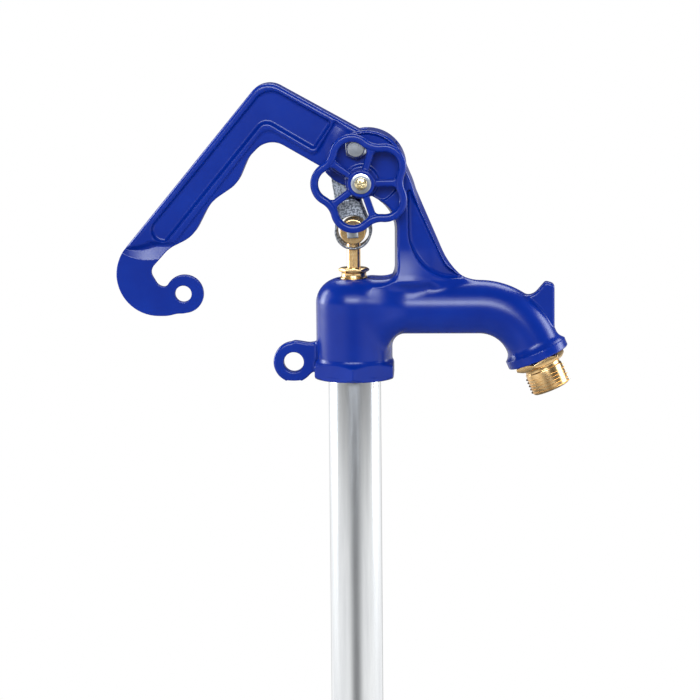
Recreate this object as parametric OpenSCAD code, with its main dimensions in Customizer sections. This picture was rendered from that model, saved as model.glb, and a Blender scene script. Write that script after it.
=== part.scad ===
// Frost-proof garden standpipe: a cast head on a galvanised riser pipe, with a hand lever that
// lifts a plunger off its seat in a brass valve at the foot. Millimetres, +Z up the pipe,
// +X towards the spout, origin at the mouth of the inlet thread under the foot valve.

/* [Riser pipe] */
// Length of the riser pipe, end to end
pipe_len = 855; // [700:1:1400]
// Outside diameter of the pipe
pipe_d = 33.4; // [30:0.1:36]
// Wall thickness of the pipe
pipe_wall = 3.4; // [2.5:0.1:4]
// How far each pipe end goes into its socket
pipe_depth = 20; // [14:1:24]

/* [Head body] */
// Width across the flats of the hexagon at the foot of the head
hex_af = 49.8; // [46:0.2:56]
// Height of that hexagon
hex_h = 11.6; // [9:0.1:14]
// Diameter of the round body
body_d = 48.4; // [45:0.1:52]
// Height of the body's flat top above the foot of the hexagon
body_h = 63.6; // [60:0.1:70]
// Radius of the body's shoulder
shoulder_r = 15; // [8:0.5:15]
// Wall round the chamber inside the body
body_wall = 5.4; // [4:0.1:6]

/* [Spout] */
// Outside diameter of the spout
spout_d = 34; // [30:0.2:36]
// Height of the spout's centre line above the foot of the hexagon
spout_z = 45.4; // [43:0.1:47]
// Where the spout starts to bend, from the pipe axis
spout_run = 79.6; // [76:0.1:90]
// Radius of the bend on the centre line
bend_r = 36; // [30:0.5:40]
// How far the outlet leans away from straight down, in degrees
outlet_lean = 22.8; // [10:0.1:40]
// Straight length from the bend to the outlet's face
outlet_len = 11.4; // [11:0.1:18]
// Diameter of the waterway in the spout
waterway_d = 20; // [16:0.5:21]
// Diameter of the collar at the outlet
collar_d = 40; // [36:0.2:44]
// Height of that collar
collar_h = 5.4; // [4:0.1:8]

/* [Bail horn] */
// Thickness of the horn that a bucket bail hooks behind
horn_t = 10; // [7:0.5:13]
// Height of the horn's tip above the spout's centre line
horn_h = 15.8; // [14:0.1:20]

/* [Padlock eyes] */
// Distance of the fixed eye from the pipe axis
lug_x = 38.9; // [38:0.1:44]
// Height of the fixed eye above the foot of the hexagon
lug_z = 10; // [8:0.1:14]
// Radius of the fixed eye
lug_r = 13; // [11:0.1:14]
// Diameter of the hole in the fixed eye
lug_hole_d = 12.8; // [11:0.1:14]
// Thickness of the fixed eye
lug_t = 8.8; // [6:0.1:9]
// Diameter of the padlock hole in the lever
lever_hole_d = 10.5; // [8:0.1:12]
// Thickness of the lever's flat hook
hook_t = 5.2; // [4:0.1:5.2]
// How far the hook's face lies behind the lever's side
hook_inset = 2.4; // [1.5:0.1:3.4]

/* [Fork] */
// Thickness over the fork's two cheeks
fork_t = 31; // [29:0.5:36]
// Radius of the cheeks' round top
cheek_r = 24.6; // [24:0.1:27]
// Width of the raised rim round each cheek
rim_w = 2; // [1.5:0.1:4]
// Depth of the cheek's flat face below its rim
face_depth = 1.8; // [1:0.1:2.4]
// Thickness of the arm that carries the fork
arm_t = 26; // [24:0.5:29]
// Depth of the pocket in each side of the arm
pocket_depth = 4.5; // [3:0.5:7]

/* [Lever] */
// Distance from the fulcrum to the padlock hole in the lever's hook
lever_reach = 144.9; // [142:0.1:147]
// Thickness of the lever
lever_t = 19.2; // [18:0.1:20.4]
// Height of the fulcrum above the foot of the hexagon
pivot_z = 148; // [147:0.1:152]
// Distance of the fulcrum from the pipe axis
pivot_x = 2.6; // [1:0.1:4]
// Distance from the fulcrum to the link's pin
crank_r = 12.1; // [12:0.1:13]
// Radius of the lever's hub
hub_r = 10.3; // [10:0.1:12]
// Radius of the lever's heel, which the flow lock presses on
heel_r = 25.4; // [25:0.1:26]
// Depth of the panel in each side of the lever
panel_depth = 2.6; // [1:0.1:4]

/* [Pins and bolts] */
// Diameter of the fulcrum bolt
bolt_d = 8; // [7:0.1:9]
// Width across the flats of its head and nut
bolt_af = 12.7; // [12:0.1:14]
// Height of its head
bolt_head_h = 5.3; // [4:0.1:5.6]
// Diameter of the link's pin
pin_d = 7; // [6:0.1:8]

/* [Link and barrel] */
// Thickness of the link's tongue
tongue_t = 10; // [8:0.1:10.4]
// Thickness of each of the link's two eyes
eye_t = 3.8; // [3:0.1:4]
// Outside radius of an eye
eye_r = 11.7; // [11.4:0.1:13]
// Diameter of the bore in an eye
eye_bore_d = 20.2; // [19.6:0.1:21]
// Diameter of the brass barrel
barrel_d = 16.3; // [15:0.1:16.4]
// Length of the barrel
barrel_len = 22; // [20:0.5:24]
// Height of the barrel above the foot of the hexagon
barrel_z = 94.5; // [92:0.1:96]
// Width of the set screw's square head
set_head = 7.6; // [6:0.1:8]

/* [Stem and packing] */
// Diameter of the stem
stem_d = 8.6; // [7.5:0.1:9]
// Width across the flats of the packing nut
nut_af = 17.2; // [16:0.1:19]
// Diameter of the packing nut's threaded shank
nut_d = 16; // [14:0.1:16]
// Height of the packing
packing_h = 9; // [6:0.5:10]

/* [Flow lock] */
// Distance of the wheel's axis from the pipe axis
wheel_x = 6.1; // [5:0.1:8]
// Height of the wheel's axis above the foot of the hexagon
wheel_z = 126.6; // [126:0.1:128]
// Distance of a lobe's centre from the wheel's axis
lobe_at = 17.8; // [16:0.1:20]
// Outside radius of a lobe
lobe_r = 14.2; // [13:0.1:16]
// Radius of the hollow between two lobes
hollow_r = 12; // [9:0.5:16]
// Width of the rim
wheel_rim = 5; // [3:0.1:5.5]
// Thickness of the rim
wheel_t = 5.6; // [4:0.1:7]
// Width of a spoke
spoke_w = 4.8; // [3:0.1:5.4]
// Diameter of the lock's threaded stud
stud_d = 8; // [7:0.1:9]
// Gap between the lock's pad and the lever when the lock is slack
lock_gap = 0.45; // [0.4:0.05:1]

/* [Hose nozzle] */
// Outside diameter of the hose thread
hose_d = 26.9; // [24:0.1:28]
// Length of the hose thread
hose_len = 13.5; // [10:0.1:18]
// Distance from one thread ridge to the next
hose_pitch = 2.21; // [1.8:0.01:3]
// Width across the flats of the nozzle's hexagon
nozzle_af = 29; // [28:0.1:32]
// Height of that hexagon
nozzle_hex_h = 5; // [4:0.1:8]
// Diameter of the nozzle's bore
nozzle_bore = 18; // [14:0.1:20]

/* [Foot valve] */
// Height of the valve body
valve_h = 66; // [62:1:80]
// Diameter of the valve body
valve_d = 43; // [41:0.5:48]
// Diameter of the inlet thread, at its ridges
inlet_d = 24.2; // [22:0.1:26]
// Length of the inlet thread
inlet_len = 18; // [14:0.5:20]
// Diameter of the bore that the plunger slides in
valve_bore = 23; // [22:0.1:25]
// Diameter of the seat's opening
seat_d = 15; // [12:0.1:17]
// How far the plunger stands off its seat in the lever's drawn place
lift = 7.1; // [7.1:0.1:9]
// Diameter of the operating rod
rod_d = 9.5; // [8:0.1:11]

/* [Clearances] */
// Radial gap of a turning or sliding fit
running = 0.08; // [0.05:0.01:0.1]
// Radial gap of a thread or a fixed seat, between its two pieces
seat_gap = 0.05; // [0.02:0.01:0.1]
// Side gap between the lever or the link and what they move in
side_gap = 0.3; // [0.2:0.05:0.4]

/* [Hidden] */

$fn = 64;
// Largest turn between two points of a rounded corner, in degrees
arc_step = 10;
// How far a cut runs past the face that it opens
over = 1;
// Small step between round lengths that would else share one surface
step = 0.2;

// Heights from the inlet's mouth
seat_z = inlet_len + 8;
ledge_z = valve_h - pipe_depth;
head_z = ledge_z + pipe_len - pipe_depth;

// Head
pipe_r = pipe_d / 2;
body_r = body_d / 2;
chamber_r = body_r - body_wall;
chamber_top = body_h - 9.6;
packing_z = 41;
packing_floor = 3;
boss_wall = 3.5;
nut_bore_r = nut_d / 2 + seat_gap;
sink_r = 11;
sink_depth = 1.6;
bend_end = [spout_run + bend_r * cos(outlet_lean), spout_z - bend_r + bend_r * sin(outlet_lean)];
nozzle_shank_r = hose_d / 2 - 0.6;
nozzle_shank_len = 11.5;

// Fork, lever and link, all in the plane through the pipe axis and the spout
pivot = [pivot_x, pivot_z];
crank_pin = pivot - [crank_r, 0];
eye_centre = [0, barrel_z];
wheel_axis = [wheel_x, wheel_z];
slot_t = lever_t + 2 * side_gap;
slot_r = heel_r + 0.9;
cheek_centre = pivot + [6.3, -13.6];
cheek_cut = 35.3;
slot_drop = 48;
arm_web = 14.6;
web_gap = 1;
web_low = 6;
web_high = 131;
lock_boss_r = 10.5;
lock_boss_y = -fork_t / 2 - 2.2;
face_y = fork_t / 2 - face_depth;
bolt_hole_d = bolt_d + 2 * running;
washer_t = 1.5;
link_vector = crank_pin - eye_centre;
link_len = norm(link_vector);
link_tilt = atan2(-link_vector.x, link_vector.y);
tongue_r = 7.4;
yoke_top = 21;
eye_face = lever_t / 2;
eye_gap = eye_face - eye_t;
lever_slot_t = tongue_t + 2 * side_gap;
lever_slot_r = tongue_r + 1;
lever_unit = lever_reach / 144.9;
lever_hole = [-111, -93.1] * lever_unit;
hook_r = 12.2;
hook_end = lever_hole + [0.8, 0];
hook_line = -66 * lever_unit;

// Flow lock, front to back along -Y
pad_r = stud_d / 2 - 0.2;
pad_nose = -lever_t / 2 - lock_gap;
stud_nose = pad_nose - 1.2;
hub_back = lock_boss_y - 1.8;
hub_len = 8.4;
hub_front = hub_back - hub_len;
wheel_hub_r = 8.6;
// The hollows bite into the lobes a little, so the two arcs cross instead of touching
bite = 0.15;
hollow_at = lobe_at * cos(36) + sqrt((lobe_r + hollow_r - bite) ^ 2 - (lobe_at * sin(36)) ^ 2);
spoke_turn = 1;
rim_back = hub_back - 2.4;
drive_d = 6.4;
wheel_screw_d = 4;
wheel_washer_r = 6.4;
wheel_washer_t = 1;

// Plunger and rod
seal_z = seat_z + lift;
seal_t = 4;
piston_z = seal_z + seal_t;
piston_h = 6;
piston_r = valve_bore / 2 - running;
groove_z = piston_z + 2;
groove_h = 2;
foot_screw_d = 4;
plunger_top = piston_z + 20;
thread_r = rod_d / 2 + seat_gap;
rod_foot = piston_z + 9;
rod_top = head_z - 12;
coupling_z = head_z - 26;
coupling_len = 28;
stem_foot = head_z - 9;
stem_top = head_z + barrel_z + barrel_d / 2 - 0.6;
set_screw_d = 6;
set_head_h = 5;

function unit(v) = v / norm(v);
function flat(v) = [v.x, v.y];
function turn_by(a, b) = let (d = b - a) d > 180 ? d - 360 : d < -180 ? d + 360 : d;

// The points of one corner [x, y, radius] between its neighbours a and c
function corner(a, b, c) =
    b[2] == 0 ? [flat(b)] :
    let (u = unit(flat(a) - flat(b)))
    let (v = unit(flat(c) - flat(b)))
    let (half = acos(u * v) / 2)
    let (centre = flat(b) + unit(u + v) * b[2] / sin(half))
    let (start = flat(b) + u * b[2] / tan(half) - centre)
    let (end = flat(b) + v * b[2] / tan(half) - centre)
    let (first = atan2(start.y, start.x))
    let (sweep = turn_by(first, atan2(end.y, end.x)))
    let (steps = ceil(abs(sweep) / arc_step))
    [for (k = [0:steps]) let (a = first + sweep * k / steps) centre + b[2] * [cos(a), sin(a)]];

// An outline from corners [x, y, radius], with each corner rounded by its radius
function rounded(p) = [for (i = [0:len(p) - 1])
    each corner(p[(i + len(p) - 1) % len(p)], p[i], p[(i + 1) % len(p)])];

module at_head() {
    translate([0, 0, head_z]) children();
}

// Stands a flat shape, drawn in X and Z, up between two depths
module between(y0, y1) {
    rotate([90, 0, 0]) translate([0, 0, -y1]) linear_extrude(y1 - y0) children();
}

// A round bar or hole along Y through a point [x, z]
module along_y(at, y0, y1, d) {
    translate([at.x, y0, at.y]) rotate([-90, 0, 0]) cylinder(h = y1 - y0, d = d);
}

module both_sides() {
    children();
    mirror([0, 1, 0]) children();
}

// At the start of the spout's straight outlet, with +Z out of the spout
module at_outlet() {
    translate([bend_end.x, 0, bend_end.y]) rotate([0, 180 - outlet_lean, 0]) children();
}

module ring(z, h, r_out, r_in) {
    translate([0, 0, z]) difference() {
        cylinder(h = h, r = r_out);
        translate([0, 0, -over]) cylinder(h = h + 2 * over, r = r_in);
    }
}

// A hexagon bar whose ends are bevelled, with one corner towards the front
module hex_bar(af, h) {
    corner_r = af / 2 / cos(30);
    flat_r = af / 2 * 0.96;
    wide = corner_r + over;
    drop = (wide - flat_r) * tan(30);
    intersection() {
        rotate(30) cylinder(h = h, r = corner_r, $fn = 6);
        rotate_extrude() polygon([[0, 0], [flat_r, 0], [wide, drop],
            [wide, h - drop], [flat_r, h], [0, h]]);
    }
}

// Head casting

module body_shell() {
    hex_bar(hex_af, hex_h);
    rotate_extrude() polygon(rounded([[0, hex_h / 2, 0], [body_r, hex_h / 2, 0],
        [body_r, body_h, shoulder_r], [0, body_h, 0]]));
}

// The straight run and the bend. The straight lengths are a hair wider than the bend, so that
// each ends in a small step where it meets the bend
module spout_run_bar(d, start) {
    translate([start, 0, spout_z]) rotate([0, 90, 0])
        cylinder(h = spout_run - start + step, d = d + step);
    translate([spout_run, 0, spout_z - bend_r]) rotate([90, 0, 0]) rotate(outlet_lean)
        rotate_extrude(angle = 90 - outlet_lean) translate([bend_r, 0]) circle(d = d);
}

module spout_outside() {
    spout_run_bar(spout_d, 0);
    at_outlet() rotate_extrude() polygon([[0, -step], [(spout_d + step) / 2, -step],
        [(spout_d + step) / 2, outlet_len - collar_h - 4], [collar_d / 2, outlet_len - collar_h],
        [collar_d / 2, outlet_len - 1], [collar_d / 2 - 1, outlet_len], [0, outlet_len]]);
}

module spout_inside() {
    spout_run_bar(waterway_d, body_r - body_wall - 4);
    at_outlet() {
        translate([0, 0, -step]) cylinder(h = outlet_len, d = waterway_d + step);
        translate([0, 0, outlet_len - nozzle_shank_len])
            cylinder(h = nozzle_shank_len + over, r = nozzle_shank_r + seat_gap);
    }
}

module horn() {
    x = spout_run + 33.6;
    tip = spout_z + horn_h;
    between(-horn_t / 2, horn_t / 2) polygon(rounded([[x - 8, spout_z - 12, 0],
        [x - 6, tip - 9, 0], [x + 1.3, tip - 7.6, 8], [x + 8.3, tip + 0.5, 2.2],
        [x + 14.2, tip - 1.2, 3.2], [x + 14.2, spout_z - 12, 0]]));
}

module lug() {
    y0 = -lever_t / 2 + hook_inset + hook_t + 0.6;
    difference() {
        union() {
            along_y([-lug_x, lug_z], y0, y0 + lug_t, 2 * lug_r);
            between(y0, y0 + lug_t) polygon([[-lug_x, lug_z + lug_r - 0.1],
                [-body_r + 4, lug_z + lug_r + 1.2], [-body_r + 4, lug_z - lug_r + 4],
                [-lug_x, lug_z - lug_r + 0.1]]);
        }
        along_y([-lug_x, lug_z], y0 - over, y0 + lug_t + over, lug_hole_d);
    }
}

// A round plate cut along the slanting lower edge of the cheek
module cheek_disc(r) {
    difference() {
        translate(cheek_centre) circle(r);
        translate(cheek_centre + [-cheek_r, 1.7 + cheek_r - r]) rotate(-cheek_cut)
            translate([-cheek_r, -2 * cheek_r]) square([4 * cheek_r, 2 * cheek_r]);
    }
}

module cheek_outline() {
    right = cheek_centre.x + cheek_r;
    cheek_disc(cheek_r);
    translate(wheel_axis) circle(lock_boss_r);
    polygon(rounded([[right - 0.7, cheek_centre.y + 2.5, 0], [right + 13.5, pivot_z - 46, 0],
        [right - 7.3, pivot_z - 56, 0], [right - 7.3, pivot_z - 41.6, 22],
        [right - 21.5, pivot_z - 31.5, 0], [cheek_centre.x, cheek_centre.y, 0]]));
}

// The arm from the spout up into the cheeks
module arm_outline() {
    right = cheek_centre.x + cheek_r;
    top = spout_z + spout_d / 2;
    polygon(rounded([[right - 0.7, cheek_centre.y + 2.5, 0], [right + 31.7, top - 1.4, 45],
        [right + 60, top - 8, 0], [right + 40, spout_z, 0], [12, spout_z, 0],
        [12, top - 1.5, 0], [right - 7.5, top - 1.5, 12], [right - 7.5, pivot_z - 36, 0]]));
}

// The web that joins the cheeks over the hub, clear of the blade and the heel in every place
module web_outline() {
    reach = 2 * cheek_r;
    beside = (hub_r + web_gap) * [sin(web_high), -cos(web_high)];
    translate(pivot) difference() {
        polygon([[0, 0], reach * [cos(web_low), sin(web_low)], [reach, reach],
            beside + reach * [cos(web_high), sin(web_high)], beside]);
        circle(hub_r + 2 * web_gap);
    }
}

// The room between the cheeks: the lever's heel turns in it and the link hangs through it
module slot_outline() {
    right = cheek_centre.x + cheek_r;
    difference() {
        translate(pivot) circle(slot_r);
        web_outline();
    }
    translate([-2 * cheek_r, pivot_z - slot_drop])
        square([2 * cheek_r + right - arm_web, slot_drop]);
}

module arm_pocket() {
    right = cheek_centre.x + cheek_r;
    top = spout_z + spout_d / 2;
    polygon(rounded([[right + 0.8, pivot_z - 20.5, 1.5], [right + 25.3, top + 10.1, 15],
        [right + 37.5, top + 1.4, 0.8], [right + 1.8, top + 1.8, 31]]));
}

module fork() {
    difference() {
        union() {
            difference() {
                union() {
                    between(-fork_t / 2, fork_t / 2) cheek_outline();
                    between(-arm_t / 2, arm_t / 2) arm_outline();
                }
                both_sides() between(-fork_t / 2 - over, -face_y) cheek_disc(cheek_r - rim_w);
                both_sides() between(-fork_t / 2 - over, -arm_t / 2 + pocket_depth) arm_pocket();
            }
            along_y(wheel_axis, lock_boss_y, -slot_t / 2, 2 * lock_boss_r);
        }
        between(-slot_t / 2, slot_t / 2) slot_outline();
        along_y(pivot, -fork_t, fork_t, bolt_hole_d);
        along_y(wheel_axis, -fork_t, 0, stud_d + 2 * running);
    }
}

module head_hollow() {
    translate([0, 0, -over]) cylinder(h = pipe_depth + over, r = pipe_r + seat_gap);
    translate([0, 0, pipe_depth - over]) cylinder(h = 6, r = pipe_r - pipe_wall);
    difference() {
        translate([0, 0, pipe_depth + 4]) cylinder(h = chamber_top - pipe_depth - 4, r = chamber_r);
        translate([0, 0, packing_z - packing_floor])
            cylinder(h = body_h, r = nut_bore_r + boss_wall);
    }
    translate([0, 0, packing_z - packing_floor - over])
        cylinder(h = packing_floor + 2 * over, d = stem_d + 0.6);
    translate([0, 0, packing_z]) cylinder(h = body_h, r = nut_bore_r);
    translate([0, 0, body_h - sink_depth]) cylinder(h = over + sink_depth, r = sink_r);
}

module head_casting() {
    color("royalblue") at_head() difference() {
        union() {
            body_shell();
            spout_outside();
            horn();
            lug();
            fork();
        }
        head_hollow();
        spout_inside();
    }
}

// Pipe and foot valve

module riser_pipe() {
    color("silver") ring(ledge_z, pipe_len, pipe_r, pipe_r - pipe_wall);
}

module valve_body() {
    color("goldenrod") difference() {
        union() {
            hex_bar(valve_d - 1, inlet_len - 4);
            translate([0, 0, inlet_len - 6]) cylinder(h = valve_h - inlet_len + 6, d = valve_d);
        }
        translate([0, 0, -over]) cylinder(h = inlet_len + over, d = inlet_d);
        translate([0, 0, inlet_len - over]) cylinder(h = valve_h, d = seat_d);
        translate([0, 0, seat_z]) cylinder(h = valve_h, d = valve_bore);
        translate([0, 0, ledge_z]) cylinder(h = valve_h, r = pipe_r + seat_gap);
        translate([0, 0, ledge_z - 2.5]) rotate([0, -90, 0]) cylinder(h = valve_d, d = 3);
    }
}

// Hose nozzle, with its thread as ridges one pitch apart

module hose_nozzle() {
    neck_len = 3;
    thread_z = nozzle_hex_h + neck_len;
    ridges = floor(hose_len / hose_pitch);
    crest = hose_d / 2;
    root = crest - 1.3;
    ridge_points = [for (k = [0:ridges - 1])
        each [[root, thread_z + (k + 0.05) * hose_pitch], [crest, thread_z + (k + 0.42) * hose_pitch],
            [crest, thread_z + (k + 0.58) * hose_pitch], [root, thread_z + (k + 0.95) * hose_pitch]]];
    color("gold") at_head() at_outlet() translate([0, 0, outlet_len]) difference() {
        union() {
            translate([0, 0, -nozzle_shank_len + 0.3])
                cylinder(h = nozzle_shank_len, r = nozzle_shank_r);
            translate([0, 0, 0.2]) hex_bar(nozzle_af, nozzle_hex_h);
            rotate_extrude() polygon(concat([[0, 0], [root - 0.6, 0], [root - 0.6, thread_z]],
                ridge_points, [[root, thread_z + hose_len], [0, thread_z + hose_len]]));
        }
        translate([0, 0, -nozzle_shank_len])
            cylinder(h = nozzle_shank_len + thread_z + hose_len + over, d = nozzle_bore);
    }
}

// Packing round the stem

module packing_nut() {
    neck_h = 4.4;
    flange_h = 2.8;
    seat = body_h - sink_depth;
    foot = packing_z + packing_h + 1.8;
    color("goldenrod") at_head() difference() {
        union() {
            translate([0, 0, foot]) cylinder(h = body_h + neck_h - foot + over, d = nut_d);
            translate([0, 0, seat]) cylinder(h = 3, r = nut_d / 2 + 1.2);
            translate([0, 0, body_h + neck_h]) rotate(30) hex_bar(nut_af, flange_h);
        }
        cylinder(h = 2 * body_h, d = stem_d + 2 * running);
    }
}

module packing_washer() {
    color("goldenrod") at_head()
        ring(packing_z + packing_h, 1.5, nut_d / 2 - seat_gap, stem_d / 2 + running);
}

module stem_packing() {
    color("dimgray") at_head() ring(packing_z, packing_h, nut_d / 2, stem_d / 2 + running);
}

// Fulcrum

module fulcrum_bolt() {
    color("silver") at_head() {
        along_y(pivot, -face_y - over, face_y + 11, bolt_d);
        translate([pivot.x, -face_y, pivot.y]) rotate([90, 0, 0]) rotate(12)
            hex_bar(bolt_af, bolt_head_h);
    }
}

module fulcrum_washer() {
    color("silver") at_head() translate([pivot.x, face_y, pivot.y]) rotate([-90, 0, 0])
        ring(0, washer_t, bolt_af / 2 + 0.9, bolt_d / 2 + running);
}

module fulcrum_nut() {
    nut_h = 6.8;
    color("silver") at_head() translate([pivot.x, face_y + washer_t, pivot.y]) rotate([-90, 0, 0])
        difference() {
            hex_bar(bolt_af, nut_h);
            translate([0, 0, -over]) cylinder(h = nut_h + 2 * over, r = bolt_d / 2 + seat_gap);
        }
}

// Lever, drawn from its fulcrum

module blade_outline() {
    hub = hub_r - 0.05;
    tip = hook_r - 0.05;
    back = [[-58.5, 44.2, 14]] * lever_unit;
    front = [[-17.4, -15.4, 0], [-55.6, 6.7, 14], [-68.4, -6.5, 16], [-75.6, -23.1, 20],
        [-92.8, -34.6, 26], [-104, -56.3, 22], [-119.8, -64.1, 20], [-132.4, -78.2, 6],
        [-126.8, -87.8, 6]] * lever_unit;
    heel = [[-121, -107.2, 18], [-183.4, -107.2, 26.7]] * lever_unit;
    polygon(rounded(concat(back, [[hub * sin(29), hub * cos(29), 0], [6, -9, 0]], front,
        [[hook_end.x + 1, hook_end.y + 2, 0], [hook_end.x - 1, hook_end.y - tip + 0.6, 0]], heel)));
}

module heel_outline() {
    intersection() {
        circle(heel_r);
        polygon([[1, 3], [-2 * heel_r, -1.7 * heel_r], [0, -3 * heel_r], [2 * heel_r, -1.8 * heel_r]]);
    }
}

module lever_panel() {
    polygon(rounded([[-56.6, 39.5, 12], [-14.9, 15.8, 2.5], [-26.7, -1.6, 2.5],
        [-57.9, 16.8, 6], [-121.6, -60.2, 2], [-140.2, -60.6, 8]] * lever_unit));
}

// Where the lever thins to its flat hook
module below_hook_line() {
    reach = 2 * lever_reach;
    translate([-reach, hook_line - reach]) square([reach - 40, reach]);
}

module lever_slot() {
    translate([-crank_r, 0]) circle(lever_slot_r);
    polygon([[-crank_r - lever_slot_r, 0], [-34, -26], [-34, -60], [60, -60],
        [60, lever_slot_r], [-crank_r, lever_slot_r]]);
}

module lever() {
    half = lever_t / 2;
    color("royalblue") at_head() translate([pivot.x, 0, pivot.y]) difference() {
        union() {
            between(-half, half) blade_outline();
            between(-half, half) heel_outline();
            along_y([0, 0], -half, half, 2 * hub_r);
            along_y(hook_end, -half, half, 2 * hook_r);
        }
        between(-lever_slot_t / 2, lever_slot_t / 2) lever_slot();
        both_sides() between(-half - over, -half + panel_depth) lever_panel();
        between(-half - over, -half + hook_inset) below_hook_line();
        between(-half + hook_inset + hook_t, half + over) below_hook_line();
        along_y([0, 0], -half - over, half + over, bolt_hole_d);
        along_y([-crank_r, 0], -half - over, half + over, pin_d + 2 * seat_gap);
        along_y(lever_hole, -half - over, half + over, lever_hole_d);
    }
}

module link_pin() {
    color("silver") at_head() along_y(crank_pin, -lever_t / 2 + 0.1, lever_t / 2 - 0.1, pin_d);
}

// Link, drawn upright from the centre of its eyes

module link_tongue() {
    translate([0, link_len]) circle(tongue_r);
    polygon([[-tongue_r, link_len], [-8, 18], [-8, 12.5], [8, 12.5], [8, 20],
        [4.6, link_len - 24], [4.6, link_len - 5.8]]);
}

module link_yoke() {
    difference() {
        union() {
            circle(eye_r);
            polygon([[-eye_r, 0], [-8, yoke_top - 3], [-5, yoke_top], [5, yoke_top],
                [8, yoke_top - 3], [eye_r, 0]]);
        }
        circle(d = eye_bore_d);
    }
}

module link() {
    color("darkgray") at_head() translate([eye_centre.x, 0, eye_centre.y]) rotate([0, -link_tilt, 0])
        difference() {
            union() {
                between(-tongue_t / 2, tongue_t / 2) link_tongue();
                between(-eye_face, eye_face) link_yoke();
            }
            between(-eye_gap, eye_gap) translate([-2 * eye_r, -2 * eye_r])
                square([4 * eye_r, 2 * eye_r + eye_r + 2]);
            along_y([0, link_len], -eye_face - over, eye_face + over, pin_d + 2 * running);
        }
}

// Barrel, stem and rod

module barrel() {
    half = barrel_len / 2;
    color("gold") at_head() difference() {
        along_y(eye_centre, -half, half, barrel_d);
        translate([0, 0, barrel_z - barrel_d])
            cylinder(h = 2 * barrel_d, d = stem_d + 2 * seat_gap);
        along_y(eye_centre, -half - over, -stem_d / 2, set_screw_d + 2 * seat_gap);
    }
}

module set_screw() {
    y = -barrel_len / 2;
    color("silver") at_head() {
        along_y(eye_centre, y - over, -stem_d / 2 - 0.1, set_screw_d);
        translate([-set_head / 2, y - set_head_h, barrel_z - set_head / 2])
            cube([set_head, set_head_h, set_head]);
    }
}

module stem() {
    color("gold") translate([0, 0, stem_foot]) cylinder(h = stem_top - stem_foot, d = stem_d);
}

module rod_coupling() {
    color("goldenrod") translate([0, 0, coupling_z]) difference() {
        cylinder(h = coupling_len, r = rod_d / 2 + 3);
        translate([0, 0, -over])
            cylinder(h = over + stem_foot - coupling_z - 1, r = thread_r);
        translate([0, 0, stem_foot - coupling_z - 2])
            cylinder(h = coupling_len, d = stem_d + 2 * seat_gap);
    }
}

module stem_nut() {
    color("goldenrod") translate([0, 0, coupling_z + coupling_len]) difference() {
        hex_bar(14, 5);
        translate([0, 0, -over]) cylinder(h = 5 + 2 * over, d = stem_d + 2 * seat_gap);
    }
}

module operating_rod() {
    color("silver") translate([0, 0, rod_foot]) cylinder(h = rod_top - rod_foot, d = rod_d);
}

// Plunger

module plunger_nut() {
    color("silver") translate([0, 0, plunger_top]) difference() {
        hex_bar(15, 7);
        translate([0, 0, -over]) cylinder(h = 7 + 2 * over, r = thread_r);
    }
}

module plunger() {
    ports = 4;
    port_d = 3;
    port_x = piston_r - 3.4;
    screw_depth = rod_foot - piston_z - 0.5;
    color("goldenrod") difference() {
        union() {
            translate([0, 0, piston_z]) cylinder(h = piston_h, r = piston_r);
            translate([0, 0, piston_z]) cylinder(h = plunger_top - piston_z, r = rod_d / 2 + 1.9);
        }
        translate([0, 0, rod_foot - 0.5]) cylinder(h = plunger_top, r = thread_r);
        translate([0, 0, piston_z - over])
            cylinder(h = screw_depth, d = foot_screw_d + 2 * seat_gap);
        for (k = [0:ports - 1]) rotate(45 + k * 360 / ports)
            translate([port_x, 0, piston_z - over]) cylinder(h = piston_h + 2 * over, d = port_d);
        ring(groove_z, groove_h, piston_r + over, piston_r - 1.3);
    }
}

module drain_seal() {
    color("dimgray") ring(groove_z + seat_gap, groove_h - 2 * seat_gap,
        valve_bore / 2 - seat_gap, piston_r - 1.2);
}

module foot_seal() {
    color("dimgray") ring(seal_z, seal_t, valve_bore / 2 - 1.6, foot_screw_d / 2 + seat_gap);
}

module foot_screw() {
    color("gold") {
        translate([0, 0, seal_z - 1.4]) cylinder(h = 1.4, r = seat_d / 2 - 1.2);
        translate([0, 0, seal_z - 2]) cylinder(h = seal_t + 8, d = foot_screw_d);
        translate([0, 0, seal_z - 3.8]) cylinder(h = 2.6, d = 7.6);
    }
}

// Flow lock

module lock_pad() {
    color("dimgray") at_head() {
        along_y(wheel_axis, stud_nose, pad_nose, 2 * pad_r);
        along_y(wheel_axis, stud_nose - 2.5, stud_nose + 0.1, 3);
    }
}

module lock_stud() {
    color("gold") at_head() difference() {
        union() {
            along_y(wheel_axis, hub_back, stud_nose, stud_d);
            along_y(wheel_axis, hub_front + 0.4, hub_back + 0.1, drive_d);
        }
        along_y(wheel_axis, stud_nose - 2.6, stud_nose + over, 3 + 2 * running);
        along_y(wheel_axis, hub_front - over, hub_back + 2.5, wheel_screw_d + 2 * seat_gap);
    }
}

// The wheel's flat shape, drawn in from its outer edge: five lobes with a hollow between each two
module wheel_outline(inset) {
    lobe = lobe_r - inset;
    hollow = hollow_r + inset;
    share = lobe / (lobe + hollow);
    meeting = [lobe_at + (hollow_at * cos(36) - lobe_at) * share, hollow_at * sin(36) * share];
    for (k = [0:4]) rotate(spoke_turn + 36 + k * 72) translate([lobe_at, 0]) circle(lobe);
    difference() {
        circle(norm(meeting));
        for (k = [0:4]) rotate(spoke_turn + k * 72) translate([hollow_at, 0]) circle(hollow);
    }
}

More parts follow.
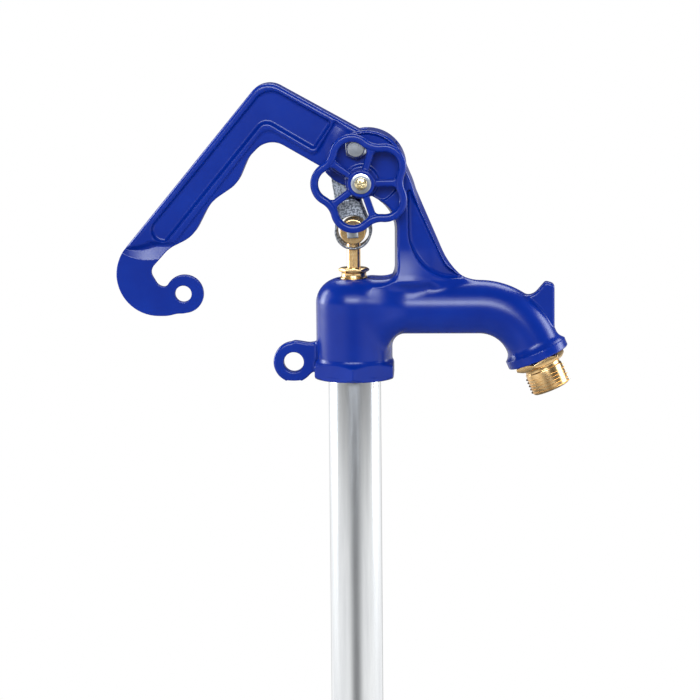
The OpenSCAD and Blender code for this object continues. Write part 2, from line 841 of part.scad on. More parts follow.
module flow_wheel() {
    rim_front = rim_back - wheel_t;
    color("royalblue") at_head() difference() {
        union() {
            translate([wheel_axis.x, 0, wheel_axis.y]) between(rim_front, rim_back) difference() {
                wheel_outline(0);
                wheel_outline(wheel_rim);
            }
            translate([wheel_axis.x, 0, wheel_axis.y]) between(rim_front + 0.8, rim_back - 0.6)
                for (k = [0:4]) rotate(spoke_turn + k * 72) translate([0, -spoke_w / 2])
                    square([hollow_at - hollow_r - 1, spoke_w]);
            along_y(wheel_axis, hub_front, hub_back, 2 * wheel_hub_r);
        }
        along_y(wheel_axis, hub_front - over, hub_back + over, drive_d + 2 * seat_gap);
    }
}

module wheel_washer() {
    color("silver") at_head() translate([wheel_axis.x, hub_front, wheel_axis.y]) rotate([90, 0, 0])
        ring(0, wheel_washer_t, wheel_washer_r, wheel_screw_d / 2 + seat_gap);
}

module wheel_screw() {
    y = hub_front - wheel_washer_t;
    head_h = 2.6;
    color("silver") at_head() difference() {
        union() {
            along_y(wheel_axis, y - 0.5, hub_back + 2, wheel_screw_d);
            translate([wheel_axis.x, y, wheel_axis.y]) rotate([90, 0, 0]) rotate_extrude()
                polygon(rounded([[0, 0, 0], [4, 0, 0], [4, head_h, 1.6], [0, head_h, 0]]));
        }
        for (a = [0, 90]) translate([wheel_axis.x, 0, wheel_axis.y]) rotate([0, a + 20, 0])
            translate([-2.2, y - head_h - over, -0.5]) cube([4.4, over + 1.3, 1]);
    }
}

head_casting();
riser_pipe();
valve_body();
hose_nozzle();
packing_nut();
packing_washer();
stem_packing();
fulcrum_bolt();
fulcrum_washer();
fulcrum_nut();
lever();
link_pin();
link();
barrel();
set_screw();
stem();
stem_nut();
rod_coupling();
operating_rod();
plunger_nut();
plunger();
drain_seal();
foot_seal();
foot_screw();
lock_pad();
lock_stud();
flow_wheel();
wheel_washer();
wheel_screw();
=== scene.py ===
"""Garden standpipe: a blue cast head with lever and flow lock on a galvanised riser pipe.

The castings are sculpted as distance fields, because their forms flow into each other with
cast fillets. Turned and forged pieces are swept profiles, and the threads are swept by
Geometry Nodes. Sizes are in millimetres in the head's own frame, whose origin is on the pipe
axis at the foot of the head's hexagon, with X towards the spout and Z up the pipe.
"""

from __future__ import annotations

import logging
import math
from dataclasses import dataclass, field
from enum import Enum
from typing import Callable, Sequence

import bmesh
import bpy
import numpy as np
from mathutils import Matrix, Vector


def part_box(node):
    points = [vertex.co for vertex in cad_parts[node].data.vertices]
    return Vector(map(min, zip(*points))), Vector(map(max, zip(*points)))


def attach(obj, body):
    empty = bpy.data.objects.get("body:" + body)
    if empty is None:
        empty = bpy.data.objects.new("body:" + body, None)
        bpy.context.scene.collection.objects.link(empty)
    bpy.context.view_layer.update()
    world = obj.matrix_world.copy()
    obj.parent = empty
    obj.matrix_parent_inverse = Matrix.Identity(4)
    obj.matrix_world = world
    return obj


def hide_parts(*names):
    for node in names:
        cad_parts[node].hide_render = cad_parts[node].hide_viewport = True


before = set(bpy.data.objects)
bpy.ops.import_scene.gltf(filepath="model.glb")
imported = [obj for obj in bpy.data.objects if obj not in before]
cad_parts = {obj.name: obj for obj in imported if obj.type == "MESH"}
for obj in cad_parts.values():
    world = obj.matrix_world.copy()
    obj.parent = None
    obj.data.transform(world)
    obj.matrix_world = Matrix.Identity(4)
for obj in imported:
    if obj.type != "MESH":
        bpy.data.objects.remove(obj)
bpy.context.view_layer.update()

log = logging.getLogger("standpipe")

Array = np.ndarray
Corner = tuple[float, float, float]
Point2 = tuple[float, float]

MM = 0.001
# How far the pipe is screwed into the head, which gives the height of the head's foot
PIPE_IN_HEAD = 20.0
HEAD_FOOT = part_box("riser_pipe")[1].z / MM - PIPE_IN_HEAD
# Axes that several pieces share, as X and Z in the head's frame
PIVOT: Point2 = (2.6, 148.0)
LINK_PIN: Point2 = (-9.5, 148.0)
BARREL: Point2 = (0.0, 94.5)
WHEEL_AXIS: Point2 = (6.1, 126.6)
# Where the wheel's hub ends in front, and the sizes that the lever and the head share
WHEEL_FACE = -27.9
LEVER_HUB = 10.3
BOLT_BORE = 4.08
# Cell of the head's grid in millimetres
FINE_CELL = 0.75
# An edge that turns more than this many degrees stays sharp in the shading
SHARP_TURN = 35
FLOOR_RADIUS = 2.4
PHOTO_PIXELS = 700


# Distance fields


def circle(x: Array, z: Array, centre: Point2, radius: float) -> Array:
    """Distance to a circle in the plane of X and Z.

    Args:
        x: Places along X.
        z: Places along Z.
        centre: The circle's centre.
        radius: Its radius.

    Returns:
        The distance at each place, negative inside.
    """
    return np.hypot(x - centre[0], z - centre[1]) - radius


def rounded_outline(corners: Sequence[Corner], step: float = 6.0) -> Array:
    """Draws a closed outline whose corners are rounded.

    Args:
        corners: Corners as x, z and radius.
        step: Largest turn between two points of a corner, in degrees.

    Returns:
        The outline's points.
    """
    points: list[Array] = []
    count = len(corners)
    for i, (x, z, radius) in enumerate(corners):
        here = np.array([x, z])
        before = np.array(corners[i - 1][:2]) - here
        after = np.array(corners[(i + 1) % count][:2]) - here
        if radius == 0:
            points.append(here)
            continue
        u, v = before / np.linalg.norm(before), after / np.linalg.norm(after)
        half = math.acos(max(-1.0, min(1.0, float(u @ v)))) / 2
        centre = here + (u + v) / np.linalg.norm(u + v) * radius / math.sin(half)
        start = here + u * radius / math.tan(half) - centre
        end = here + v * radius / math.tan(half) - centre
        first = math.atan2(start[1], start[0])
        sweep = (math.atan2(end[1], end[0]) - first + math.pi) % (2 * math.pi) - math.pi
        steps = max(1, math.ceil(abs(math.degrees(sweep)) / step))
        for k in range(steps + 1):
            angle = first + sweep * k / steps
            points.append(centre + radius * np.array([math.cos(angle), math.sin(angle)]))
    return np.array(points)


def outline(x: Array, z: Array, points: Array) -> Array:
    """Signed distance to a closed outline in the plane of X and Z, negative inside.

    Args:
        x: Places along X.
        z: Places along Z.
        points: The outline's points.

    Returns:
        The distance at each place.
    """
    x, z = np.broadcast_arrays(x, z)
    nearest = np.full(x.shape, np.inf)
    inside = np.zeros(x.shape, bool)
    for (ax, az), (bx, bz) in zip(points, np.roll(points, -1, axis=0)):
        ex, ez = bx - ax, bz - az
        length = ex * ex + ez * ez
        if length < 1e-12:
            continue
        px, pz = x - ax, z - az
        t = np.clip((px * ex + pz * ez) / length, 0, 1)
        nearest = np.minimum(nearest, (px - ex * t) ** 2 + (pz - ez * t) ** 2)
        crosses = (az > z) != (bz > z)
        if ez:
            inside ^= crosses & (x < ax + ex * (z - az) / ez)
    return np.where(inside, -1.0, 1.0) * np.sqrt(nearest)


def join(a: Array, b: Array, fillet: float | Array) -> Array:
    """Union of two forms with a round fillet in the corner between them.

    Args:
        a: Distance to the first form.
        b: Distance to the second form.
        fillet: The fillet's radius, one for all places or one for each.

    Returns:
        The distance to the union.
    """
    u, v = np.maximum(fillet - a, 0), np.maximum(fillet - b, 0)
    return np.maximum(fillet, np.minimum(a, b)) - np.hypot(u, v)


def meet(a: Array, b: Array, round_off: float) -> Array:
    """What two forms share, with the edge between them rounded off.

    Args:
        a: Distance to the first form.
        b: Distance to the second form.
        round_off: The radius of the edge.

    Returns:
        The distance to what they share.
    """
    if round_off <= 0:
        return np.maximum(a, b)
    u, v = np.maximum(round_off + a, 0), np.maximum(round_off + b, 0)
    return np.minimum(-round_off, np.maximum(a, b)) + np.hypot(u, v)


def cut(a: Array, b: Array, round_off: float = 0.0) -> Array:
    """The first form without the second, with the edge of the cut rounded off.

    Args:
        a: Distance to the first form.
        b: Distance to the form that is cut away.
        round_off: The radius of the edge.

    Returns:
        The distance to what is left.
    """
    return meet(a, -b, round_off)


def melt(a: Array, b: Array, width: float) -> Array:
    """Union of two forms that flow into each other over a width.

    Args:
        a: Distance to the first form.
        b: Distance to the second form.
        width: How far the two blend.

    Returns:
        The distance to the union.
    """
    h = np.maximum(width - np.abs(a - b), 0) / width
    return np.minimum(a, b) - h * h * width / 4


def plate(shape: Array, y: Array, low: float, high: float, round_off: float) -> Array:
    """A flat shape stood up between two depths, with its edges rounded off.

    Args:
        shape: Distance to the flat shape, in the plane of X and Z.
        y: Places along Y.
        low: The plate's nearer face.
        high: Its farther face.
        round_off: The radius of its edges.

    Returns:
        The distance at each place, negative inside.
    """
    return meet(shape, np.abs(y - (low + high) / 2) - (high - low) / 2, round_off)


def rise(value: Array, low: float, high: float) -> Array:
    """A smooth step from 0 at one value to 1 at another.

    Args:
        value: What the step follows.
        low: Where it leaves 0.
        high: Where it reaches 1.

    Returns:
        The step, from 0 to 1.
    """
    t = np.clip((value - low) / (high - low), 0, 1)
    return t * t * (3 - 2 * t)


def bar(x: Array, y: Array, z: Array, low: float, high: float, radius: float,
        round_off: float = 0.0) -> Array:
    """A round bar up the pipe axis between two heights.

    Args:
        x: Places along X.
        y: Places along Y.
        z: Places along Z.
        low: The bar's foot.
        high: Its top.
        radius: Its radius.
        round_off: The radius of its edges.

    Returns:
        The distance at each place, negative inside.
    """
    return meet(np.hypot(x, y) - radius, np.abs(z - (low + high) / 2) - (high - low) / 2, round_off)


def hexagon_flats(x: Array, y: Array, across_flats: float, round_off: float) -> Array:
    """The six sides of a hexagon bar up the pipe axis, with its corners rounded off.

    Args:
        x: Places along X.
        y: Places along Y.
        across_flats: The bar's size across its flats.
        round_off: The radius of its corners.

    Returns:
        The distance at each place, negative inside.
    """
    half = across_flats / 2
    a, b, c = (np.abs(x * math.cos(t) + y * math.sin(t)) - half
               for t in (0, math.pi / 3, 2 * math.pi / 3))
    return meet(meet(a, b, round_off), c, round_off)


Field = Callable[[Array, Array, Array], Array]


@dataclass
class Sculpt:
    """Turns a distance field into a closed mesh.

    The field is sampled on a grid, walked into quads, thinned where it is flat, and moved
    onto the true surface, whose normals it also takes.
    """

    field: Field
    low: tuple[float, float, float]
    high: tuple[float, float, float]
    cell: float
    keep: float = 1.0
    origin: Array = field(init=False, repr=False, default=None)
    values: Array = field(init=False, repr=False, default=None)

    def sample_grid(self) -> None:
        """Samples the field on the grid."""
        self.origin = np.array(self.low, float)
        counts = np.ceil((np.array(self.high) - self.origin) / self.cell).astype(int) + 1
        axes = [self.origin[i] + self.cell * np.arange(counts[i]) for i in range(3)]
        x, y, z = (a.reshape([-1 if i == k else 1 for k in range(3)]) for i, a in enumerate(axes))
        self.values = np.ascontiguousarray(
            np.broadcast_to(self.field(x, y, z), counts), dtype=np.float64)

    def walk(self) -> tuple[Array, Array]:
        """Walks the grid's cells where the field changes sign.

        Returns:
            The points in millimetres, and the quads between them.
        """
        f = self.values
        inside = f < 0
        shape = np.array(f.shape) - 1
        corners = [(i, j, k) for i in (0, 1) for j in (0, 1) for k in (0, 1)]
        total = np.zeros(shape, np.int8)
        for i, j, k in corners:
            total += inside[i:i + shape[0], j:j + shape[1], k:k + shape[2]]
        cells = np.argwhere((total > 0) & (total < 8))
        number = np.full(shape, -1, np.int64)
        number[tuple(cells.T)] = np.arange(len(cells))
        summed, count = np.zeros((len(cells), 3)), np.zeros(len(cells))
        for axis in range(3):
            for corner in corners:
                if corner[axis]:
                    continue
                a = cells + corner
                b = a.copy()
                b[:, axis] += 1
                fa, fb = f[tuple(a.T)], f[tuple(b.T)]
                change = (fa < 0) != (fb < 0)
                t = np.where(change, fa / np.where(change, fa - fb, 1), 0)
                place = a.astype(float)
                place[:, axis] += t
                summed += place * change[:, None]
                count += change
        points = self.origin + self.cell * summed / count[:, None]
        quads: list[Array] = []
        for axis in range(3):
            u, v = (axis + 1) % 3, (axis + 2) % 3
            first = [slice(None)] * 3
            second = [slice(None)] * 3
            first[axis], second[axis] = slice(0, -1), slice(1, None)
            edge = inside[tuple(first)] != inside[tuple(second)]
            at = np.argwhere(edge)
            at = at[(at[:, u] > 0) & (at[:, v] > 0) & (at[:, u] < shape[u]) & (at[:, v] < shape[v])]
            ring = []
            for du, dv in ((1, 1), (0, 1), (0, 0), (1, 0)):
                cell = at.copy()
                cell[:, u] -= du
                cell[:, v] -= dv
                ring.append(number[tuple(cell.T)])
            quad = np.stack(ring, axis=1)
            outward = inside[tuple(at.T)]
            quad[~outward] = quad[~outward][:, ::-1]
            quads.append(quad)
        return points, np.concatenate(quads)

    def look(self, points: Array) -> tuple[Array, Array]:
        """Reads the field and its slope between the grid's points, with cubic weights.

        Args:
            points: Places in millimetres.

        Returns:
            The field's value and its slope at each place.
        """
        t = (points - self.origin) / self.cell
        base = np.clip(np.floor(t).astype(int), 1, np.array(self.values.shape) - 3)
        t = t - base
        weights, slopes = [], []
        for i in range(3):
            s = t[:, i]
            weights.append([((-0.5 * s + 1) * s - 0.5) * s, (1.5 * s - 2.5) * s * s + 1,
                            ((-1.5 * s + 2) * s + 0.5) * s, (0.5 * s - 0.5) * s * s])
            slopes.append([(-1.5 * s + 2) * s - 0.5, (4.5 * s - 5) * s,
                           (-4.5 * s + 4) * s + 0.5, (1.5 * s - 1) * s])
        value = np.zeros(len(points))
        slope = np.zeros((len(points), 3))
        for i in range(4):
            for j in range(4):
                for k in range(4):
                    f = self.values[base[:, 0] + i - 1, base[:, 1] + j - 1, base[:, 2] + k - 1]
                    wx, wy, wz = weights[0][i], weights[1][j], weights[2][k]
                    value += f * wx * wy * wz
                    slope[:, 0] += f * slopes[0][i] * wy * wz
                    slope[:, 1] += f * wx * slopes[1][j] * wz
                    slope[:, 2] += f * wx * wy * slopes[2][k]
        return value, slope / self.cell

    def settle(self, points: Array, rounds: int = 4) -> Array:
        """Moves points onto the surface.

        Args:
            points: Places in millimetres, close to the surface.
            rounds: How many times they are moved.

        Returns:
            The moved points.
        """
        limit = self.cell * 0.4
        for _ in range(rounds):
            value, slope = self.look(points)
            steep = np.maximum((slope ** 2).sum(1), 0.25)
            move = slope * (value / steep)[:, None]
            size = np.linalg.norm(move, axis=1)
            points = points - move * np.minimum(1, limit / np.maximum(size, 1e-9))[:, None]
        return points

    def build(self, name: str) -> bpy.types.Object:
        """Makes the mesh object, in place.

        Args:
            name: The object's name.

        Returns:
            The object, whose normals are the field's own.
        """
        self.sample_grid()
        points, quads = self.walk()
        made = mesh_object(name, self.settle(points), quads)
        if self.keep < 1:
            thin = made.modifiers.new("thin", "DECIMATE")
            thin.ratio = self.keep
            thin.use_collapse_triangulate = True
            bake_modifiers(made)
        mesh = made.data
        flat = np.empty(len(mesh.vertices) * 3)
        mesh.vertices.foreach_get("co", flat)
        places = self.settle(flat.reshape(-1, 3))
        _, slope = self.look(places)
        normals = slope / np.maximum(np.linalg.norm(slope, axis=1), 1e-9)[:, None]
        mesh.vertices.foreach_set("co", ((places + [0, 0, HEAD_FOOT]) * MM).ravel())
        mesh.shade_smooth()
        mesh.normals_split_custom_set_from_vertices([tuple(n) for n in normals])
        mesh.update()
        self.values = None
        return made


# Meshes


def mesh_object(name: str, points: Array, faces: Sequence[Sequence[int]]) -> bpy.types.Object:
    """Makes a mesh object from points and faces and links it to the scene.

    Args:
        name: The object's name.
        points: The mesh's points.
        faces: The mesh's faces, each a row of point numbers.

    Returns:
        The new object.
    """
    mesh = bpy.data.meshes.new(name)
    mesh.from_pydata([tuple(p) for p in points], [], [tuple(int(i) for i in f) for f in faces])
    mesh.validate()
    made = bpy.data.objects.new(name, mesh)
    bpy.context.scene.collection.objects.link(made)
    return made


def bake_modifiers(made: bpy.types.Object) -> None:
    """Turns an object's modifiers into its plain mesh.

    Args:
        made: The object.
    """
    bpy.context.view_layer.update()
    evaluated = made.evaluated_get(bpy.context.evaluated_depsgraph_get())
    mesh = bpy.data.meshes.new_from_object(evaluated)
    old = made.data
    made.modifiers.clear()
    made.data = mesh
    mesh.name = made.name
    bpy.data.meshes.remove(old)


Profile = Callable[[float], Sequence[Point2]]


def turned(name: str, profile: Profile, segments: int = 96) -> bpy.types.Object:
    """Sweeps a closed profile round +Z, where the profile may change with the angle.

    Args:
        name: The object's name.
        profile: Gives the profile at an angle, as radius and height, anticlockwise seen with
            the axis on the left. A radius of 0 closes the form on its axis.
        segments: Steps in the full turn.

    Returns:
        A closed mesh object round its own Z axis, in millimetres.
    """
    made = bmesh.new()
    rings = []
    for k in range(segments):
        angle = 2 * math.pi * k / segments
        c, s = math.cos(angle), math.sin(angle)
        rings.append([made.verts.new((r * c, r * s, h)) for r, h in profile(angle)])
    count = len(rings[0])
    for k in range(segments):
        near, far = rings[k], rings[(k + 1) % segments]
        for i in range(count):
            j = (i + 1) % count
            made.faces.new((near[i], far[i], far[j], near[j]))
    bmesh.ops.remove_doubles(made, verts=made.verts, dist=1e-4)
    bmesh.ops.dissolve_degenerate(made, edges=made.edges, dist=1e-5)
    bmesh.ops.recalc_face_normals(made, faces=made.faces)
    mesh = bpy.data.meshes.new(name)
    made.to_mesh(mesh)
    made.free()
    result = bpy.data.objects.new(name, mesh)
    bpy.context.scene.collection.objects.link(result)
    return result


def finish_edges(made: bpy.types.Object, width: float, angle: float = 30) -> None:
    """Bevels an object's sharp edges, shades it smooth and bakes the result.

    Args:
        made: The object, in millimetres.
        width: The bevel's width in millimetres.
        angle: Edges that turn more than this many degrees are bevelled.
    """
    bevel = made.modifiers.new("edges", "BEVEL")
    bevel.width = width
    bevel.segments = 2
    bevel.limit_method = "ANGLE"
    bevel.angle_limit = math.radians(angle)
    bevel.use_clamp_overlap = True
    bake_modifiers(made)
    made.data.shade_smooth()
    made.data.set_sharp_from_angle(angle=math.radians(SHARP_TURN))


def place(made: bpy.types.Object, at: Sequence[float], along: Sequence[float] = (0, 0, 1),
          turn: float = 0.0) -> bpy.types.Object:
    """Moves a mesh into the row frame, with its own +Z along a direction.

    Args:
        made: The object, in millimetres round its own Z axis.
        at: Where its origin goes, in the head's frame.
        along: The direction of its +Z.
        turn: A turn about its own axis first, in degrees.

    Returns:
        The same object, whose place is now in its mesh.
    """
    z = Vector(along).normalized()
    x = Vector((1, 0, 0)) if abs(z.x) < 0.9 else Vector((0, 0, -1))
    y = z.cross(x).normalized()
    x = y.cross(z)
    axes = Matrix((x, y, z)).transposed().to_4x4()
    spot = Matrix.Translation(Vector(at) + Vector((0, 0, HEAD_FOOT)))
    made.data.transform(Matrix.Scale(MM, 4) @ spot @ axes @ Matrix.Rotation(math.radians(turn), 4, "Z"))
    made.data.update()
    return made


def hexagon(angle: float, across_flats: float) -> float:
    """Radius of a hexagon at an angle, with a corner at 30 degrees.

    Args:
        angle: The angle, in radians.
        across_flats: The hexagon's size across its flats.

    Returns:
        The radius at that angle.
    """
    step = math.pi / 3
    return across_flats / 2 / math.cos((angle + step / 2) % step - step / 2)


def bevelled_hexagon(angle: float, across_flats: float, low: float, high: float) -> list[Point2]:
    """The side of a hexagon bar whose ends are bevelled at 30 degrees, from the bottom up.

    Args:
        angle: The angle, in radians.
        across_flats: The bar's size across its flats.
        low: The bar's foot.
        high: Its top.

    Returns:
        Radius and height of each point.
    """
    flat = across_flats * 0.48
    corner = hexagon(angle, across_flats)
    drop = (corner - flat) * math.tan(math.radians(30))
    return [(flat, low), (corner, low + drop), (corner, high - drop), (flat, high)]


# Finishes


def linear(code: str) -> tuple[float, float, float, float]:
    """Turns an sRGB hex colour into the linear one that Blender works in.

    Args:
        code: The colour, such as #ffffff.

    Returns:
        Red, green, blue and an alpha of 1.
    """
    parts = [int(code[i:i + 2], 16) / 255 for i in (1, 3, 5)]
    r, g, b = (c / 12.92 if c <= 0.04045 else ((c + 0.055) / 1.055) ** 2.4 for c in parts)
    return r, g, b, 1.0


def add(tree: bpy.types.NodeTree, kind: str, settings: dict | None = None,
        **links: object) -> bpy.types.Node:
    """Adds a node to a tree.

    Args:
        tree: The node tree.
        kind: The node's type name.
        settings: Values by property name, or by socket name where there is no such property.
        **links: What feeds each input socket, with underscores for the name's spaces, or with
            i and the socket's number. It is a socket, or a node whose first output is taken.

    Returns:
        The new node.
    """
    node = tree.nodes.new(kind)
    for name, value in (settings or {}).items():
        if hasattr(node, name):
            setattr(node, name, value)
        else:
            node.inputs[name].default_value = value
    for name, source in links.items():
        output = source.outputs[0] if isinstance(source, bpy.types.Node) else source
        key = name.replace("_", " ")
        target = node.inputs[int(key[1:])] if key[0] == "i" and key[1:].isdigit() else node.inputs[key]
        tree.links.new(output, target)
    return node


def per_mm(size: float) -> float:
    """Noise scale on Object coordinates, in metres, for a pattern of a size in millimetres.

    Args:
        size: The pattern's size in millimetres.

    Returns:
        The scale.
    """
    return 1 / (size * MM)


@dataclass(frozen=True)
class Finish:
    """A surface finish, made as a material whose patterns lie on Object coordinates."""

    name: str
    colour: str
    other: str
    metallic: float
    roughness: float
    roughness_range: float
    patch: float
    grain: float
    bump: float
    stretch: tuple[float, float, float] = (1, 1, 1)
    specular: float = 0.5
    contrast: float = 0.5

    def material(self) -> bpy.types.Material:
        """Makes the material, once.

        Returns:
            The material.
        """
        made = bpy.data.materials.get(self.name)
        if made:
            return made
        made = bpy.data.materials.new(self.name)
        made.use_nodes = True
        tree = made.node_tree
        tree.nodes.clear()
        where = add(tree, "ShaderNodeTexCoord")
        spread = add(tree, "ShaderNodeMapping", {"Scale": self.stretch},
                     Vector=where.outputs["Object"])
        patches = add(tree, "ShaderNodeTexNoise", {"Scale": per_mm(self.patch), "Detail": 3.0},
                      Vector=spread)
        grains = add(tree, "ShaderNodeTexNoise", {"Scale": per_mm(self.grain), "Detail": 2.0},
                     Vector=spread)
        low = 0.5 - 0.3 * (1 - self.contrast)
        band = add(tree, "ShaderNodeMapRange",
                   {"From Min": low, "From Max": 1 - low, "To Min": 0.0, "To Max": 1.0},
                   Value=patches.outputs["Fac"])
        colour = add(tree, "ShaderNodeMix", {"data_type": "RGBA"}, i0=band)
        colour.inputs[6].default_value = linear(self.colour)
        colour.inputs[7].default_value = linear(self.other)
        rough = add(tree, "ShaderNodeMapRange",
                    {"From Min": 0.3, "From Max": 0.7,
                     "To Min": max(0.02, self.roughness - self.roughness_range),
                     "To Max": self.roughness + self.roughness_range},
                    Value=grains.outputs["Fac"])
        relief = add(tree, "ShaderNodeBump", {"Strength": 1.0, "Distance": self.bump * MM},
                     Height=grains.outputs["Fac"])
        shader = add(tree, "ShaderNodeBsdfPrincipled",
                     {"Metallic": self.metallic, "Specular IOR Level": self.specular},
                     Base_Color=colour.outputs[2], Roughness=rough, Normal=relief)
        add(tree, "ShaderNodeOutputMaterial", Surface=shader)
        return made


class Finishes(Enum):
    """The finishes of the standpipe's pieces."""

    # Stoved gloss enamel on fine castings: deep blue, smooth, with soft wide highlights.
    ENAMEL = Finish("blue_stoved_enamel", "#01247f", "#032a88", 0.0, 0.24, 0.012, 30, 5, 0.0015,
                    specular=0.32)
    # Hot-dip galvanised steel tube, drawn smooth: pale grey, satin, with faint drawn streaks.
    GALVANISED = Finish("galvanised_steel_tube", "#d6d8da", "#e2e4e5", 1.0, 0.2, 0.02, 5, 0.9,
                        0.004, stretch=(1, 1, 0.05))
    # Hot-dip galvanised forging: rough, mottled grey, with zinc lumps.
    FORGING = Finish("hot_dip_zinc_forging", "#64686e", "#a9adb3", 1.0, 0.42, 0.1, 1.2, 0.6, 0.06,
                     contrast=0.9)
    # Bright zinc plate on steel: slightly blue, with a fine satin.
    ZINC = Finish("bright_zinc_plate", "#bac0c8", "#cdd2d8", 1.0, 0.24, 0.02, 4, 0.6, 0.002)
    # Yellow passivated zinc plate: warm straw over silver.
    YELLOW_ZINC = Finish("yellow_passivated_zinc", "#dcc896", "#e9dcb6", 1.0, 0.26, 0.02, 3, 0.5,
                         0.002)
    # Turned brass, left bright: warm yellow with fine tool rings across the axis.
    BRIGHT_BRASS = Finish("turned_bright_brass", "#e0b67a", "#ecc994", 1.0, 0.24, 0.04, 4, 0.5,
                          0.006, stretch=(1, 1, 3))
    # Sand-cast brass: duller and browner, with a grainy skin.
    CAST_BRASS = Finish("sand_cast_brass", "#b98c4c", "#cda565", 1.0, 0.38, 0.08, 5, 0.8, 0.05)
    # Graphited yarn packing: near black, with a metallic sheen in its fibres.
    PACKING = Finish("graphited_yarn_packing", "#202224", "#34373a", 0.2, 0.5, 0.1, 2, 0.5, 0.08)
    # Nitrile rubber: matt black with a faint moulded skin.
    RUBBER = Finish("nitrile_rubber", "#17181a", "#242528", 0.0, 0.62, 0.08, 3, 0.5, 0.01)
    # Moulded nylon: grey, half matt.
    NYLON = Finish("moulded_grey_nylon", "#7d8085", "#8b8e93", 0.0, 0.42, 0.05, 3, 0.6, 0.006)
    # Drawn mild steel with a thin mill skin.
    DRAWN_STEEL = Finish("drawn_mild_steel", "#8c8f93", "#a3a6aa", 1.0, 0.36, 0.06, 4, 0.6, 0.008,
                         stretch=(1, 1, 0.06))


def dress(made: bpy.types.Object, finish: Finishes) -> None:
    """Gives every part of an object one finish.

    Args:
        made: The object.
        finish: The finish it gets.
    """
    material = finish.value.material()
    if not made.data.materials:
        made.data.materials.append(material)
    for slot in made.material_slots:
        slot.material = material


@dataclass(frozen=True)
class Berth:
    """Where a piece belongs: its body, the CAD nodes it stands for, its slot and its finish."""

    body: str
    nodes: tuple[str, ...]
    slot: str
    finish: Finishes

    def settle(self, made: bpy.types.Object) -> None:
        """Dresses a piece and ties it to its body.

        Args:
            made: The finished piece.
        """
        dress(made, self.finish)
        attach(made, self.body)
        if self.nodes:
            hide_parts(*self.nodes)
        log.info("%s rides on %s: %d faces", made.name, self.body, len(made.data.polygons))


# The castings


